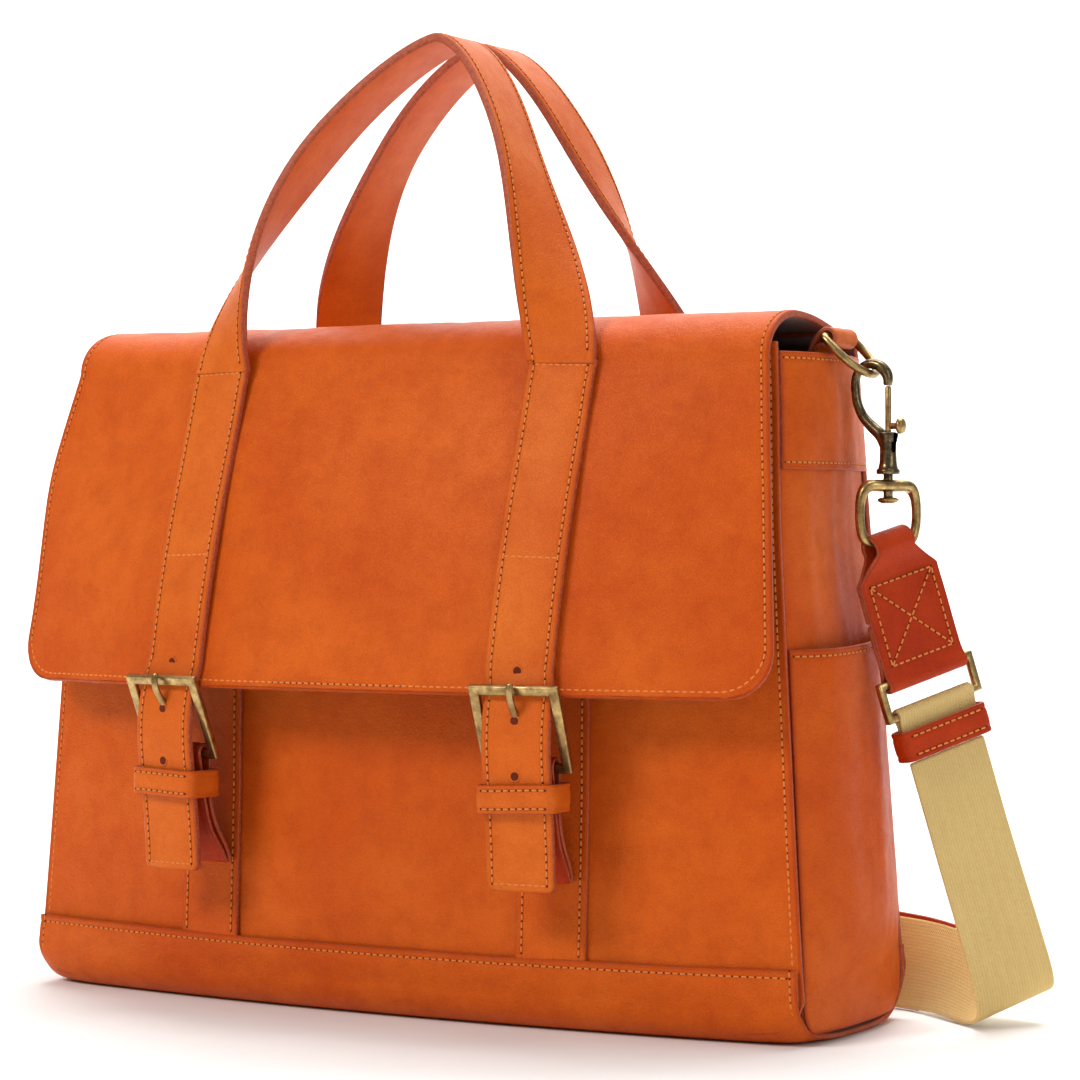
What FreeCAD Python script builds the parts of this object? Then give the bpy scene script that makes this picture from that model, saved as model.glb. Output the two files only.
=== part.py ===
import FreeCAD, Part
import Sketcher
import math
import os

from FreeCAD import Placement, Rotation, Vector

# A soft leather briefcase: a stiffened base, crowned front and back panels, side gussets with slip
# pockets, a flap held by two buckled straps, two carrying handles and a clip-on webbing strap.
# Millimetres. +Z is up, +X to the bag's right as its front is looked at, and -Y is the front.
# The origin is in the middle of the base, on the surface that the bag stands on.

DIMENSIONS = {
    # body
    "base_width": 396, "top_width": 358, "body_height": 289,
    "base_depth": 101, "top_depth": 84, "leather": 3, "clearance": 0.4,
    "front_crown": 19, "base_crown": 5, "base_height": 32, "band_gap": 1, "band_leather": 2.4,
    "top_recess": 4.5, "top_crown": 12, "recess_low": 200, "back_rise": 1.5,
    "board_thickness": 2.4, "divider_height": 215,
    # gussets
    "gusset_bulge": 6, "gusset_band_low": 239, "pocket_top": 163, "pocket_gap": 7,
    # flap
    "flap_bottom": 153, "flap_low_width": 385, "flap_top_width": 356, "flap_low_depth": 67.5,
    "flap_low_crown": 28, "flap_top_crown": 13, "flap_shoulder": 283, "flap_top": 303,
    "flap_peak_depth": 16,
    "flap_thickness": 3.4, "hinge_depth": 36.4, "hinge_height": 293,
    # straps and closures
    "strap_spacing": 88, "strap_width": 31, "strap_thickness": 3.5, "strap_turn": 6,
    "closure_depth": 80, "anchor_low": 199, "tip_low": 62, "slot_low": 126.5, "slot_high": 139.5,
    "heel_depth": -5.5, "heel_height": 113, "toe_depth": -19.5, "toe_height": 145.4,
    "frame_bar": 4.2, "frame_width": 40.5, "heel_radius": 2, "bar_play": 0.15,
    "keeper_low": 95, "keeper_height": 11, "keeper_front": -19.5, "keeper_back": -0.5, "keeper_wall": 1.4,
    "chape_low": 60, "strip_width": 32.6, "strip_high": 150, "strip_thickness": 2.4,
    # handles
    "handle_rise": 145, "handle_exponent": 1.5, "handle_twist_length": 120,
    "handle_lean": 6.5, "handle_sway": 22, "front_lean_power": 1.15, "rear_lean_power": 1.15,
    "front_apex_depth": -13.5, "rear_apex_depth": 22, "rear_gap": 1.8,
    "foot_gap": 1.4,
    # shoulder strap hardware
    "tab_width": 22, "tab_reach": 186.5, "tab_height": 292, "tab_depth": 6,
    "ring_wire": 3.6, "ring_width": 29, "ring_depth": 22, "ring_tilt": 45,
    "hook_radius": 7.5, "hook_wire": 4.4, "shank_radius": 4, "shank_top": 252, "shank_low": 234.5,
    "bolt_radius": 1.3, "bolt_travel": 7,
    "eye_width": 33, "eye_top": 232.5, "eye_low": 205, "eye_wire": 3.8,
    "end_width": 41, "end_neck": 18, "end_length": 55.5, "end_lean": 5, "end_slant": 16, "end_turn": 61.4,
    "link_width": 50, "link_height": 17.5, "link_bar": 3, "webbing_thickness": 2,
    "fold_length": 17, "fold_depth": 5, "web_keeper_down": 18.4, "web_keeper_height": 12,
}

doc = FreeCAD.newDocument("briefcase")
dims = doc.addObject("Spreadsheet::Sheet", "dims")
for row, (alias, value) in enumerate(DIMENSIONS.items(), 1):
    dims.set(f"A{row}", alias)
    dims.set(f"B{row}", str(value))
    dims.setAlias(f"B{row}", alias)
doc.recompute()

subparts = []


def size(name):
    return float(dims.get(name))


def number(term):
    """A coordinate given as a plain number, a dimension's name or (name, factor, offset)."""
    if isinstance(term, tuple):
        name, factor, offset = term
        return size(name) * factor + offset
    return size(term) if isinstance(term, str) else float(term)


def formula(term):
    if isinstance(term, tuple):
        name, factor, offset = term
        return f"dims.{name} * {factor} + {offset}"
    return f"dims.{term}" if isinstance(term, str) else str(term)


def keep(obj, label):
    obj.Label = label
    subparts.append(obj)
    return obj


# ---------------------------------------------------------------- bodies made from sketches

def origin_plane(body, role):
    return next(item for item in body.Origin.OriginFeatures if item.Role == role)


def polygon_sketch(body, role, corners):
    """A closed polygon on one of the body's origin planes, each corner bound to the sheet."""
    sketch = body.newObject("Sketcher::SketchObject", body.Name + "_outline")
    sketch.AttachmentSupport = [(origin_plane(body, role), "")]
    sketch.MapMode = "FlatFace"
    points = [Vector(number(a), number(b), 0) for a, b in corners]
    count = len(points)
    for index, start in enumerate(points):
        sketch.addGeometry(Part.LineSegment(start, points[(index + 1) % count]), False)
    for index in range(count):
        sketch.addConstraint(Sketcher.Constraint("Coincident", index, 2, (index + 1) % count, 1))
    for index, (a, b) in enumerate(corners):
        for kind, term, value in (("DistanceX", a, points[index].x), ("DistanceY", b, points[index].y)):
            place = sketch.addConstraint(Sketcher.Constraint(kind, -1, 1, index, 1, value))
            if not isinstance(term, (int, float)):
                sketch.setExpression(f"Constraints[{place}]", formula(term))
    return sketch


def padded_body(name, role, corners, thickness):
    """A prism of the polygon, as thick as given, half of it on each side of the sketch's plane."""
    body = doc.addObject("PartDesign::Body", name)
    sketch = polygon_sketch(body, role, corners)
    pad = body.newObject("PartDesign::Pad", name + "_pad")
    pad.Profile = sketch
    pad.SideType = "Symmetric"
    pad.Length = number(thickness)
    pad.setExpression("Length", formula(thickness))
    body.Tip = pad
    doc.recompute()
    return body


def pocket(body, role, corners, depth):
    """A cut right across the body on both sides of the sketch's plane."""
    before = body.Shape.Volume
    sketch = polygon_sketch(body, role, corners)
    cut = body.newObject("PartDesign::Pocket", body.Name + "_cut")
    cut.Profile = sketch
    cut.SideType = "Symmetric"
    cut.Length = number(depth)
    body.Tip = cut
    doc.recompute()
    if body.Shape.Volume >= before:
        raise RuntimeError(f"{body.Name}: the pocket cuts nothing")
    return body


# ---------------------------------------------------------------- primitives and booleans

def box(name, lengths, corner):
    item = doc.addObject("Part::Box", name)
    for prop, term in zip(("Length", "Width", "Height"), lengths):
        setattr(item, prop, number(term))
        item.setExpression(prop, formula(term))
    item.Placement = Placement(Vector(*[number(term) for term in corner]), Rotation())
    return item


def rod(name, start, end, radius):
    """A round bar between two points, with its radius bound to the sheet."""
    start, end = Vector(*start), Vector(*end)
    item = doc.addObject("Part::Cylinder", name)
    item.Radius = number(radius)
    item.setExpression("Radius", formula(radius))
    item.Height = (end - start).Length
    item.Placement = Placement(start, Rotation(Vector(0, 0, 1), end - start))
    return item


def ball(name, centre, radius):
    item = doc.addObject("Part::Sphere", name)
    item.Radius = number(radius)
    item.setExpression("Radius", formula(radius))
    item.Placement = Placement(Vector(*centre), Rotation())
    return item


def bent_wire(name, points, radius, closed=False):
    """Round wire through the points: bars joined by balls."""
    pieces = []
    count = len(points)
    for index in range(count if closed else count - 1):
        pieces.append(rod(f"{name}_bar{index}", points[index], points[(index + 1) % count], radius))
    joints = points if closed else points[1:-1]
    for index, point in enumerate(joints):
        pieces.append(ball(f"{name}_ball{index}", point, radius))
    return pieces


def fused(name, pieces):
    item = doc.addObject("Part::MultiFuse", name)
    item.Shapes = pieces
    return item


def cut_from(name, base, tool):
    item = doc.addObject("Part::Cut", name)
    item.Base = base
    item.Tool = tool
    return item


def mirrored(source, label):
    """The piece of the other side: the same piece mirrored in the bag's middle plane."""
    item = doc.addObject("Part::Mirroring", label + "_mirror")
    item.Source = source
    item.Base = Vector(0, 0, 0)
    item.Normal = Vector(1, 0, 0)
    return keep(item, label)


def pair(right, stem):
    keep(right, stem + "_right")
    mirrored(right, stem + "_left")


# ---------------------------------------------------------------- curved leather sheets

def spline_face(grid):
    surface = Part.BSplineSurface()
    surface.interpolate(grid)
    return surface


def sheet_solid(outer, inner):
    """The closed solid between two grids of points that have the same numbers of rows and columns."""
    top, bottom = spline_face(outer), spline_face(inner)
    edges = []
    for surface in (top, bottom):
        a0, a1, b0, b1 = surface.bounds()
        edges.append([surface.uIso(a0), surface.uIso(a1), surface.vIso(b0), surface.vIso(b1)])
    faces = [top.toShape(), bottom.toShape()]
    for upper, lower in zip(*edges):
        faces.append(Part.makeRuledSurface(upper.toShape(), lower.toShape()))
    shell = Part.makeShell(faces)
    shell.sewShape()
    solid = Part.makeSolid(shell)
    if solid.Volume < 0:
        solid.reverse()
    return solid


def leather_sheet(label, outer, inner):
    item = doc.addObject("Part::Feature", label + "_sheet")
    item.Shape = sheet_solid(outer, inner)
    return item


def spread(low, high, count):
    return [low + (high - low) * index / (count - 1) for index in range(count)]


def half_width(z):
    return (size("base_width") + (size("top_width") - size("base_width")) * z / size("body_height")) / 2


def half_depth(z):
    return (size("base_depth") + (size("top_depth") - size("base_depth")) * z / size("body_height")) / 2


def top_share(z):
    """How far a height is into the stretch that leans back under the closed flap, from 0 to 1."""
    low = size("recess_low")
    part = min(max((z - low) / (size("body_height") - low), 0), 1)
    return part * part * (3 - 2 * part)


def front_depth(z):
    return half_depth(z) - size("top_recess") * top_share(z)


def crown_at(z):
    rise = min(z / size("base_height"), 1.0)
    low = size("base_crown") + (size("front_crown") - size("base_crown")) * math.sin(rise * math.pi / 2)
    return low - (size("front_crown") - size("top_crown")) * top_share(z)


def front_y(x, z):
    """The front panel's outer face: a stuffed bag's front stands proud in its middle."""
    return -front_depth(z) - crown_at(z) * (1 - (x / half_width(z)) ** 2)


def front_sheet(label, levels, outer_gap, thickness, margin):
    """A sheet along the front, outer_gap in front of the panel's own outer face."""
    grids = []
    for offset in (-outer_gap, -outer_gap + thickness):
        grid = []
        for z in levels:
            edge = half_width(z) - margin
            grid.append([Vector(x, front_y(x, z) + offset, z) for x in spread(-edge, edge, 9)])
        grids.append(grid)
    return leather_sheet(label, *grids)


def gusset_x(y, z):
    """The gusset's outer face: it bulges outward between its seams."""
    return half_width(z) + size("gusset_bulge") * (1 - (y / half_depth(z)) ** 2)


def gusset_sheet(label, low, high, outer_gap, thickness, margin):
    grids = []
    for offset in (outer_gap, outer_gap - thickness):
        grid = []
        for z in spread(low, high, 7):
            ends = (margin - front_depth(z), half_depth(z) - margin)
            grid.append([Vector(gusset_x(y, z) + offset, y, z) for y in spread(*ends, 7)])
        grids.append(grid)
    return leather_sheet(label, *grids)


def make_base():
    """The wrapped base: a front band, the bottom and a back band, with a board inside."""
    skin = size("leather")
    gap = size("clearance")
    depth = size("base_depth")
    thick = size("band_leather")
    levels = spread(skin / 2, size("base_height"), 9)
    band = front_sheet("front_band", levels, size("band_gap") + thick, thick, 1.0)
    floor = box("base_floor", (("base_width", 1, -8), ("base_depth", 1, -4), "leather"),
                (("base_width", -0.5, 4), ("base_depth", -0.5, 2), 0))
    back = box("back_band", (("base_width", 1, -6), "band_leather", "base_height"),
               (("base_width", -0.5, 3), ("base_depth", 0.5, gap), 0))
    joints = [
        box("front_joint", (("base_width", 1, -30), 9, skin), (("base_width", -0.5, 15), -depth / 2 - 6, 0)),
        box("back_joint", (("base_width", 1, -8), 7, skin), (("base_width", -0.5, 4), depth / 2 - 4, 0)),
    ]
    keep(fused("base_fuse", [band, floor, back] + joints), "base_wrap")
    board = box("board", (("base_width", 1, -16), ("base_depth", 1, -16), "board_thickness"),
                (("base_width", -0.5, 8), ("base_depth", -0.5, 8), ("leather", 1, 0.2)))
    keep(board, "base_board")


def make_panels():
    skin = size("leather")
    low = skin + 0.6
    high = size("body_height")
    levels = spread(low, size("base_height"), 5) + spread(size("base_height") + 22, high, 9)
    keep(front_sheet("front", levels, 0, skin, 0), "front_panel")
    grids = []
    for offset in (0, -skin):
        grid = []
        for z in spread(low, high + size("back_rise"), 5):
            edge = half_width(z)
            grid.append([Vector(x, half_depth(z) + offset, z) for x in spread(-edge, edge, 5)])
        grids.append(grid)
    keep(leather_sheet("back", *grids), "back_panel")
    divider = box("divider", (("top_width", 1, -24), 2, ("divider_height", 1, 0)),
                  (("top_width", -0.5, 12), 8, ("leather", 1, 4)))
    keep(divider, "inner_divider")


def make_gussets():
    skin = size("leather")
    inset = skin + size("clearance")
    low = skin + 0.6
    high = size("body_height")
    band_low = size("gusset_band_low")
    pair(gusset_sheet("gusset", low, high - 4, -2.6, 2.4, inset), "gusset")
    pair(gusset_sheet("gusset_band", band_low, high - 1.8, 2.4, 2.4, inset - 1.5), "gusset_band")
    make_pocket(low, inset)


def make_pocket(low, inset):
    """The slip pocket: an outer wall that stands off the gusset, closed at its sides and bottom."""
    gap = size("pocket_gap")
    high = size("pocket_top")
    thick = size("band_leather")
    wall = gusset_sheet("pocket_wall", low, high, gap + thick, thick, inset)
    foot = gusset_sheet("pocket_foot", low, low + thick, gap + 1, gap + 0.8, inset)
    sides = []
    for side, depth in ((-1, front_depth), (1, half_depth)):
        grids = []
        for shift in (0, thick):
            grid = []
            for level in spread(low, high, 5):
                y = side * (depth(level) - inset - shift)
                start = gusset_x(y, level) + 0.2
                grid.append([Vector(x, y, level) for x in spread(start, start + gap + 1, 3)])
            grids.append(grid)
        sides.append(leather_sheet(f"pocket_side{len(sides)}", *grids))
    pair(fused("pocket_fuse", [wall, foot] + sides), "side_pocket")


# ---------------------------------------------------------------- the flap and what is sewn to it

def flap_half_width(z):
    low, high = size("flap_bottom"), size("flap_shoulder")
    part = (z - low) / (high - low)
    return (size("flap_low_width") * (1 - part) + size("flap_top_width") * part) / 2


def flap_front_y(x, z):
    """The flap's outer face in front, below its rounded shoulder."""
    low, high = size("flap_bottom"), size("flap_shoulder")
    part = (z - low) / (high - low)
    edge = size("flap_low_depth") * (1 - part) + (front_depth(high) + size("flap_thickness") + 1.6) * part
    crown = size("flap_low_crown") + (size("flap_top_crown") - size("flap_low_crown")) * max(part, 0) ** 2.2
    return -edge - crown * (1 - (x / flap_half_width(z)) ** 2)


def flap_profile(share):
    """Points (y, z) of the flap's outer face at a share of its half width, hinge first."""
    shoulder, top = size("flap_shoulder"), size("flap_top")
    front = flap_front_y(share * size("flap_top_width") / 2, shoulder)
    hinge_y, hinge_z = size("hinge_depth"), size("hinge_height")
    peak = -size("flap_peak_depth")
    points = []
    for part in spread(0, 1, 6):
        points.append((hinge_y + (peak - hinge_y) * part, hinge_z + (top - hinge_z) * math.sin(part * math.pi / 2)))
    for angle in spread(72, 0, 5):
        turn = math.radians(angle)
        points.append((peak + (front - peak) * math.cos(turn), shoulder + (top - shoulder) * math.sin(turn)))
    for z in spread(shoulder - 12, size("flap_bottom"), 10):
        points.append((flap_front_y(share * flap_half_width(z), z), z))
    return points


def offset_profile(points, distance):
    """The same profile moved by a distance to its inner side."""
    moved = []
    last = len(points) - 1
    for index, (y, z) in enumerate(points):
        before, after = points[max(index - 1, 0)], points[min(index + 1, last)]
        along = Vector(0, after[0] - before[0], after[1] - before[1]).normalize()
        moved.append((y - along.z * distance, z + along.y * distance))
    return moved


def make_flap():
    grids = []
    for inside in (0, 1):
        grid = []
        for share in spread(-1, 1, 9):
            points = flap_profile(share)
            if inside:
                points = offset_profile(points, size("flap_thickness"))
            row = []
            for y, z in points:
                wide = flap_half_width(min(z, size("flap_shoulder")))
                row.append(Vector(share * wide, y, z))
            grid.append(row)
        grids.append(grid)
    keep(leather_sheet("flap", *grids), "flap_panel")


def strap_place():
    """The right strap's own frame: on its middle line, turned to lie on the crowned front."""
    return Placement(Vector(size("strap_spacing"), -size("closure_depth"), 0),
                     Rotation(Vector(0, 0, 1), size("strap_turn")))


def placed(item):
    """Binds a piece's place to the strap's spacing, depth and turn."""
    item.Placement = strap_place()
    item.setExpression("Placement.Base.x", "dims.strap_spacing")
    item.setExpression("Placement.Base.y", "-dims.closure_depth")
    return item


def on_flap(z):
    """Depth of the flap's face under the strap, in the strap's own frame."""
    return flap_front_y(size("strap_spacing"), z) + size("closure_depth") - 0.9


def strap_corners(back):
    """A strap's outline in its side view, from the line of its back face."""
    thick = size("strap_thickness")
    return back + [(y - thick, z) for y, z in reversed(back)]


def strap_run(name, low, high):
    """A length of strap that lies on the flap between two heights."""
    back = [(on_flap(z), z) for z in spread(low, high, 8)]
    return placed(padded_body(name, "YZ_Plane", strap_corners(back), "strap_width"))


def make_flap_straps():
    low = size("flap_bottom")
    middle = size("anchor_low")
    pair(strap_run("anchor", middle + 0.3, size("flap_shoulder") - 1.5), "handle_anchor")
    pair(strap_run("closure", low + 0.3, middle), "flap_strap")
    back = [(on_flap(low), low), (-12.1, 146), (-14.1, 138), (-15.4, 130), (-15.7, 120), (-14.8, 110),
            (-13.6, 100), (-12, 88), (-10.8, 74), (-10.2, size("tip_low"))]
    tip = padded_body("tip", "YZ_Plane", strap_corners(back), "strap_width")
    low, high = size("slot_low"), size("slot_high")
    pocket(tip, "XZ_Plane", [(-2.3, low), (2.3, low), (2.3, high), (-2.3, high)], 60)
    pair(placed(tip), "strap_tip")


# ---------------------------------------------------------------- buckles

def make_strips():
    """The reinforcing strip sewn up the front panel under each buckle."""
    base = size("closure_depth") - size("clearance") - 0.8
    x = size("strap_spacing")
    faces = [(front_y(x, z) + base, z) for z in (size("base_height") + 1, size("strip_high"))]
    corners = faces + [(y - size("strip_thickness"), z) for y, z in reversed(faces)]
    pair(placed(padded_body("strip", "YZ_Plane", corners, "strip_width")), "front_strip")


def make_chape():
    """The leather tab that holds the buckle's heel bar, sewn to the strip below."""
    heel_y, heel_z = size("heel_depth"), size("heel_height")
    low = size("chape_low")
    strip = front_y(size("strap_spacing"), low) + size("closure_depth") - size("clearance") - 3.6
    corners = [(strip, low), (strip, low + 6), (heel_y + 3.2, heel_z - 22), (heel_y + 3.2, heel_z),
               (heel_y - 3.6, heel_z), (heel_y - 3.6, heel_z - 9), (heel_y - 2.4, heel_z - 22),
               (strip - 4.4, low + 3), (strip - 4.4, low)]
    body = padded_body("chape_tab", "YZ_Plane", corners, ("strap_width", 1, -1))
    pocket(body, "XZ_Plane", [(-3.2, heel_z - 9), (3.2, heel_z - 9), (3.2, heel_z + 9), (-3.2, heel_z + 9)], 60)
    side = (size("strap_width") - 1) / 2
    loops = []
    for index, (start, end) in enumerate(((-side, -3.2), (3.2, side))):
        loops.append(rod(f"chape_loop{index}", (start, heel_y, heel_z), (end, heel_y, heel_z), 4.3))
    whole = fused("chape_whole", [body] + loops)
    bore = rod("chape_bore", (-30, heel_y, heel_z), (30, heel_y, heel_z), ("heel_radius", 1, size("bar_play")))
    pair(placed(cut_from("chape_cut", whole, bore)), "buckle_chape")


def make_frame():
    """The open frame: a round heel bar, two side bars and a flat toe bar."""
    heel = Vector(0, size("heel_depth"), size("heel_height"))
    toe = Vector(0, size("toe_depth"), size("toe_height"))
    bar = size("frame_bar")
    half = (size("frame_width") - bar) / 2
    lean = math.degrees(math.atan2(heel.y - toe.y, toe.z - heel.z))
    length = (toe - heel).Length
    turn = Rotation(Vector(1, 0, 0), lean)
    pieces = [rod("heel_bar", (-half, heel.y, heel.z), (half, heel.y, heel.z), "heel_radius")]
    for side in (-1, 1):
        arm = box(f"arm{side}", ("frame_bar", "frame_bar", length + bar), (0, 0, 0))
        corner = heel + turn.multVec(Vector(side * half - bar / 2, -bar / 2, -bar / 2))
        arm.Placement = Placement(corner, turn)
        pieces.append(arm)
    front = box("toe_bar", ("frame_width", "frame_bar", "frame_bar"), (0, 0, 0))
    corner = toe + turn.multVec(Vector(-size("frame_width") / 2, -bar / 2, -bar / 2))
    front.Placement = Placement(corner, turn)
    pieces.append(front)
    pair(placed(fused("frame_fuse", pieces)), "buckle_frame")


def make_prong():
    """The prong: a sleeve on the heel bar and a shank bent through the strap onto the toe bar."""
    heel_y, heel_z = size("heel_depth"), size("heel_height")
    toe_y, toe_z = size("toe_depth"), size("toe_height")
    path = [(heel_y - 2.8, heel_z + 1), (heel_y - 5.4, heel_z + 11), (heel_y - 9.5, heel_z + 18),
            (toe_y - 0.2, toe_z - 7.4), (toe_y - 3.9, toe_z - 3.2), (toe_y - 4.6, toe_z + 2)]
    half = 1.1
    corners = offset_profile(path, half) + list(reversed(offset_profile(path, -half)))
    shank = padded_body("prong_shank", "YZ_Plane", corners, 3.4)
    sleeve = rod("prong_sleeve", (-2.2, heel_y, heel_z), (2.2, heel_y, heel_z), 3.9)
    bore = rod("prong_bore", (-6, heel_y, heel_z), (6, heel_y, heel_z), ("heel_radius", 1, size("bar_play")))
    whole = fused("prong_whole", [shank, sleeve])
    pair(placed(cut_from("prong_cut", whole, bore)), "buckle_prong")


def make_keeper():
    """The leather loop that holds the strap's end against the tab."""
    low, height = size("keeper_low"), size("keeper_height")
    front, wall = size("keeper_front"), size("keeper_wall")
    deep = size("keeper_back") - front
    half = (size("strap_width") + 0.5) / 2
    outer = box("keeper_outer", (2 * (half + wall), deep, height), (-half - wall, front, low))
    inner = box("keeper_inner", (2 * half, deep - 2 * wall, height + 4), (-half, front + wall, low - 2))
    pair(placed(cut_from("keeper_cut", outer, inner)), "strap_keeper")


# ---------------------------------------------------------------- handles

def ribbon_solid(points, normals, width, thickness, ends):
    """A flat strap along the points; a normal is the way its face looks, ends are its end directions."""
    sections = []
    last = len(points) - 1
    for index, point in enumerate(points):
        along = points[min(index + 1, last)] - points[max(index - 1, 0)]
        if index in (0, last):
            along = ends[0] if index == 0 else ends[1]
        across = along.cross(normals[index]).normalize()
        face = across.cross(along).normalize() * (thickness / 2)
        side = across * (width / 2)
        corners = [point + face - side, point + face + side, point - face + side, point - face - side]
        sections.append(Part.makePolygon(corners + corners[:1]))
    item = doc.addObject("Part::Feature", "ribbon")
    item.Shape = Part.makeLoft(sections, True, True)
    return item


def handle_path(foot_y, apex_y, lean_power, outward):
    """The arch of one handle and the way its face looks, from the left foot to the right."""
    spacing, rise = size("strap_spacing"), size("handle_rise")
    power = 2 / size("handle_exponent")
    foot_z = size("flap_shoulder") + 0.4
    points = []
    for angle in spread(0, 180, 25):
        turn = math.radians(angle)
        level = abs(math.sin(turn)) ** power
        x = -spacing * math.copysign(abs(math.cos(turn)) ** power, math.cos(turn))
        x += size("handle_lean") * level ** 3 - size("handle_sway") * level * (1 - level)
        y = foot_y + (apex_y - foot_y) * level ** lean_power
        points.append(Vector(x, y, foot_z + rise * level))
    lengths = [0]
    for start, end in zip(points, points[1:]):
        lengths.append(lengths[-1] + (end - start).Length)
    normals = []
    last = len(points) - 1
    for index, done in enumerate(lengths):
        along = (points[min(index + 1, last)] - points[max(index - 1, 0)]).normalize()
        away = Vector(-along.z, 0, along.x)
        share = min(min(done, lengths[-1] - done) / size("handle_twist_length"), 1)
        twist = math.pi / 2 * math.sin(share * math.pi / 2)
        turn = math.radians(size("strap_turn")) * (1 if index > last / 2 else -1) * (1 - share)
        if outward > 0:
            turn = 0
        flat = Vector(-outward * math.sin(turn), outward, 0) * math.cos(twist)
        normal = flat + away * math.sin(twist)
        normals.append(normal - along * normal.dot(along))
    return points, normals


def make_handles():
    """The two carrying handles and the rear one's sewn ends."""
    width, thick = size("strap_width"), size("strap_thickness") + 0.5
    ends = (Vector(0, 0, 1), Vector(0, 0, -1))
    front_foot = on_flap(size("flap_shoulder")) - size("closure_depth") - thick / 2 - size("foot_gap")
    path = handle_path(front_foot, size("front_apex_depth"), size("front_lean_power"), -1)
    front = ribbon_solid(*path, width, thick, ends)
    keep(front, "front_handle")
    rear_foot = half_depth(size("flap_shoulder")) + size("rear_gap") + size("foot_gap") + thick / 2
    path = handle_path(rear_foot, size("rear_apex_depth"), size("rear_lean_power"), 1)
    rear = ribbon_solid(*path, width, thick, ends)
    keep(rear, "rear_handle")
    low, high = size("anchor_low"), size("flap_shoulder") - 1.5
    faces = [(half_depth(z) + size("rear_gap"), z) for z in (low, high)]
    corners = faces + [(y + thick, z) for y, z in reversed(faces)]
    anchor = padded_body("rear_anchor", "YZ_Plane", corners, "strap_width")
    anchor.Placement = Placement(Vector(size("strap_spacing"), 0, 0), Rotation())
    anchor.setExpression("Placement.Base.x", "dims.strap_spacing")
    pair(anchor, "rear_handle_anchor")


# ---------------------------------------------------------------- ring, hook and swivel

def ring_bar():
    return Vector(size("tab_reach"), size("tab_depth"), size("tab_height"))


def hook_axis():
    """The middle of the ring's outer side, where the hook hangs."""
    tilt = math.radians(size("ring_tilt"))
    return ring_bar() + Vector(math.sin(tilt), 0, -math.cos(tilt)) * size("ring_depth")


def make_tab():
    """The leather tab folded round the ring's straight bar and sewn inside the gusset's top."""
    bar = ring_bar()
    inner = gusset_x(0, size("body_height")) - 9.4
    corners = [(inner, 262), (inner + 2.6, 262), (inner + 2.6, bar.z - 2.5), (bar.x, bar.z - 2.5),
               (bar.x, bar.z + 4.2), (inner + 7, bar.z + 3), (inner, bar.z - 0.2)]
    body = padded_body("tab_leaf", "XZ_Plane", corners, "tab_width")
    half = size("tab_width") / 2
    body.Placement = Placement(Vector(0, bar.y, 0), Rotation())
    fold = rod("tab_fold", (bar.x, bar.y - half, bar.z), (bar.x, bar.y + half, bar.z), 4.2)
    bore = rod("tab_bore", (bar.x, bar.y - 30, bar.z), (bar.x, bar.y + 30, bar.z), ("ring_wire", 0.5, 0.15))
    pair(cut_from("tab_cut", fused("tab_whole", [body, fold]), bore), "dring_tab")


def make_ring():
    """The D-shaped ring, hanging outward from its straight bar."""
    half = size("ring_width") / 2
    straight = size("ring_depth") - half
    points = [(-half, 0), (half, 0), (half, straight)]
    for angle in (30, 60, 90, 120, 150):
        turn = math.radians(angle)
        points.append((half * math.cos(turn), straight + half * math.sin(turn)))
    points.append((-half, straight))
    tilt = math.radians(size("ring_tilt"))
    outward = Vector(math.sin(tilt), 0, -math.cos(tilt))
    corners = [tuple(ring_bar() + Vector(0, across, 0) + outward * down) for across, down in points]
    pair(fused("ring_fuse", bent_wire("ring", corners, ("ring_wire", 0.5, 0), closed=True)), "dring")


def make_hook():
    """The snap hook: a hook over the ring, a hollow shank below its mouth and a swivel stem."""
    top = hook_axis()
    radius, wire = size("hook_radius"), size("hook_wire") / 2
    centre = top + Vector(0, 0, -radius + wire + size("ring_wire") / 2 + 0.4)
    axis_x = centre.x + radius
    points = []
    for angle in (10, 35, 60, 90, 120, 150, 180):
        turn = math.radians(angle)
        points.append((centre.x + radius * math.cos(turn), centre.y, centre.z + radius * math.sin(turn)))
    high, low = size("shank_top"), size("shank_low")
    points += [(centre.x - radius, centre.y, centre.z - 9), (centre.x - radius + 4, centre.y, high + 3),
               (axis_x - 2, centre.y, high - 5)]
    pieces = bent_wire("hook", points, ("hook_wire", 0.5, 0))
    pieces.append(rod("shank", (axis_x, centre.y, low), (axis_x, centre.y, high), "shank_radius"))
    pieces.append(rod("collar", (axis_x, centre.y, low), (axis_x, centre.y, low + 2.4), ("shank_radius", 1, 1)))
    eye_top = size("eye_top")
    stem_low = eye_top - 8
    pieces.append(rod("stem", (axis_x, centre.y, stem_low), (axis_x, centre.y, low + 0.5), 2))
    pieces.append(rod("rivet", (axis_x, centre.y, stem_low - 2), (axis_x, centre.y, stem_low), 4.5))
    whole = fused("hook_whole", pieces)
    bore = rod("hook_bore", (axis_x, centre.y, low + 3), (axis_x, centre.y, high + 4), ("bolt_radius", 1, 0.4))
    slot = box("hook_slot", (9, 4.6, high - low), (axis_x, centre.y - 2.3, high - size("bolt_travel") - 3))
    pair(cut_from("hook_cut", whole, fused("hook_tools", [bore, slot])), "snap_hook")
    make_bolt(axis_x, centre)
    make_eye(axis_x, centre.y)


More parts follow.
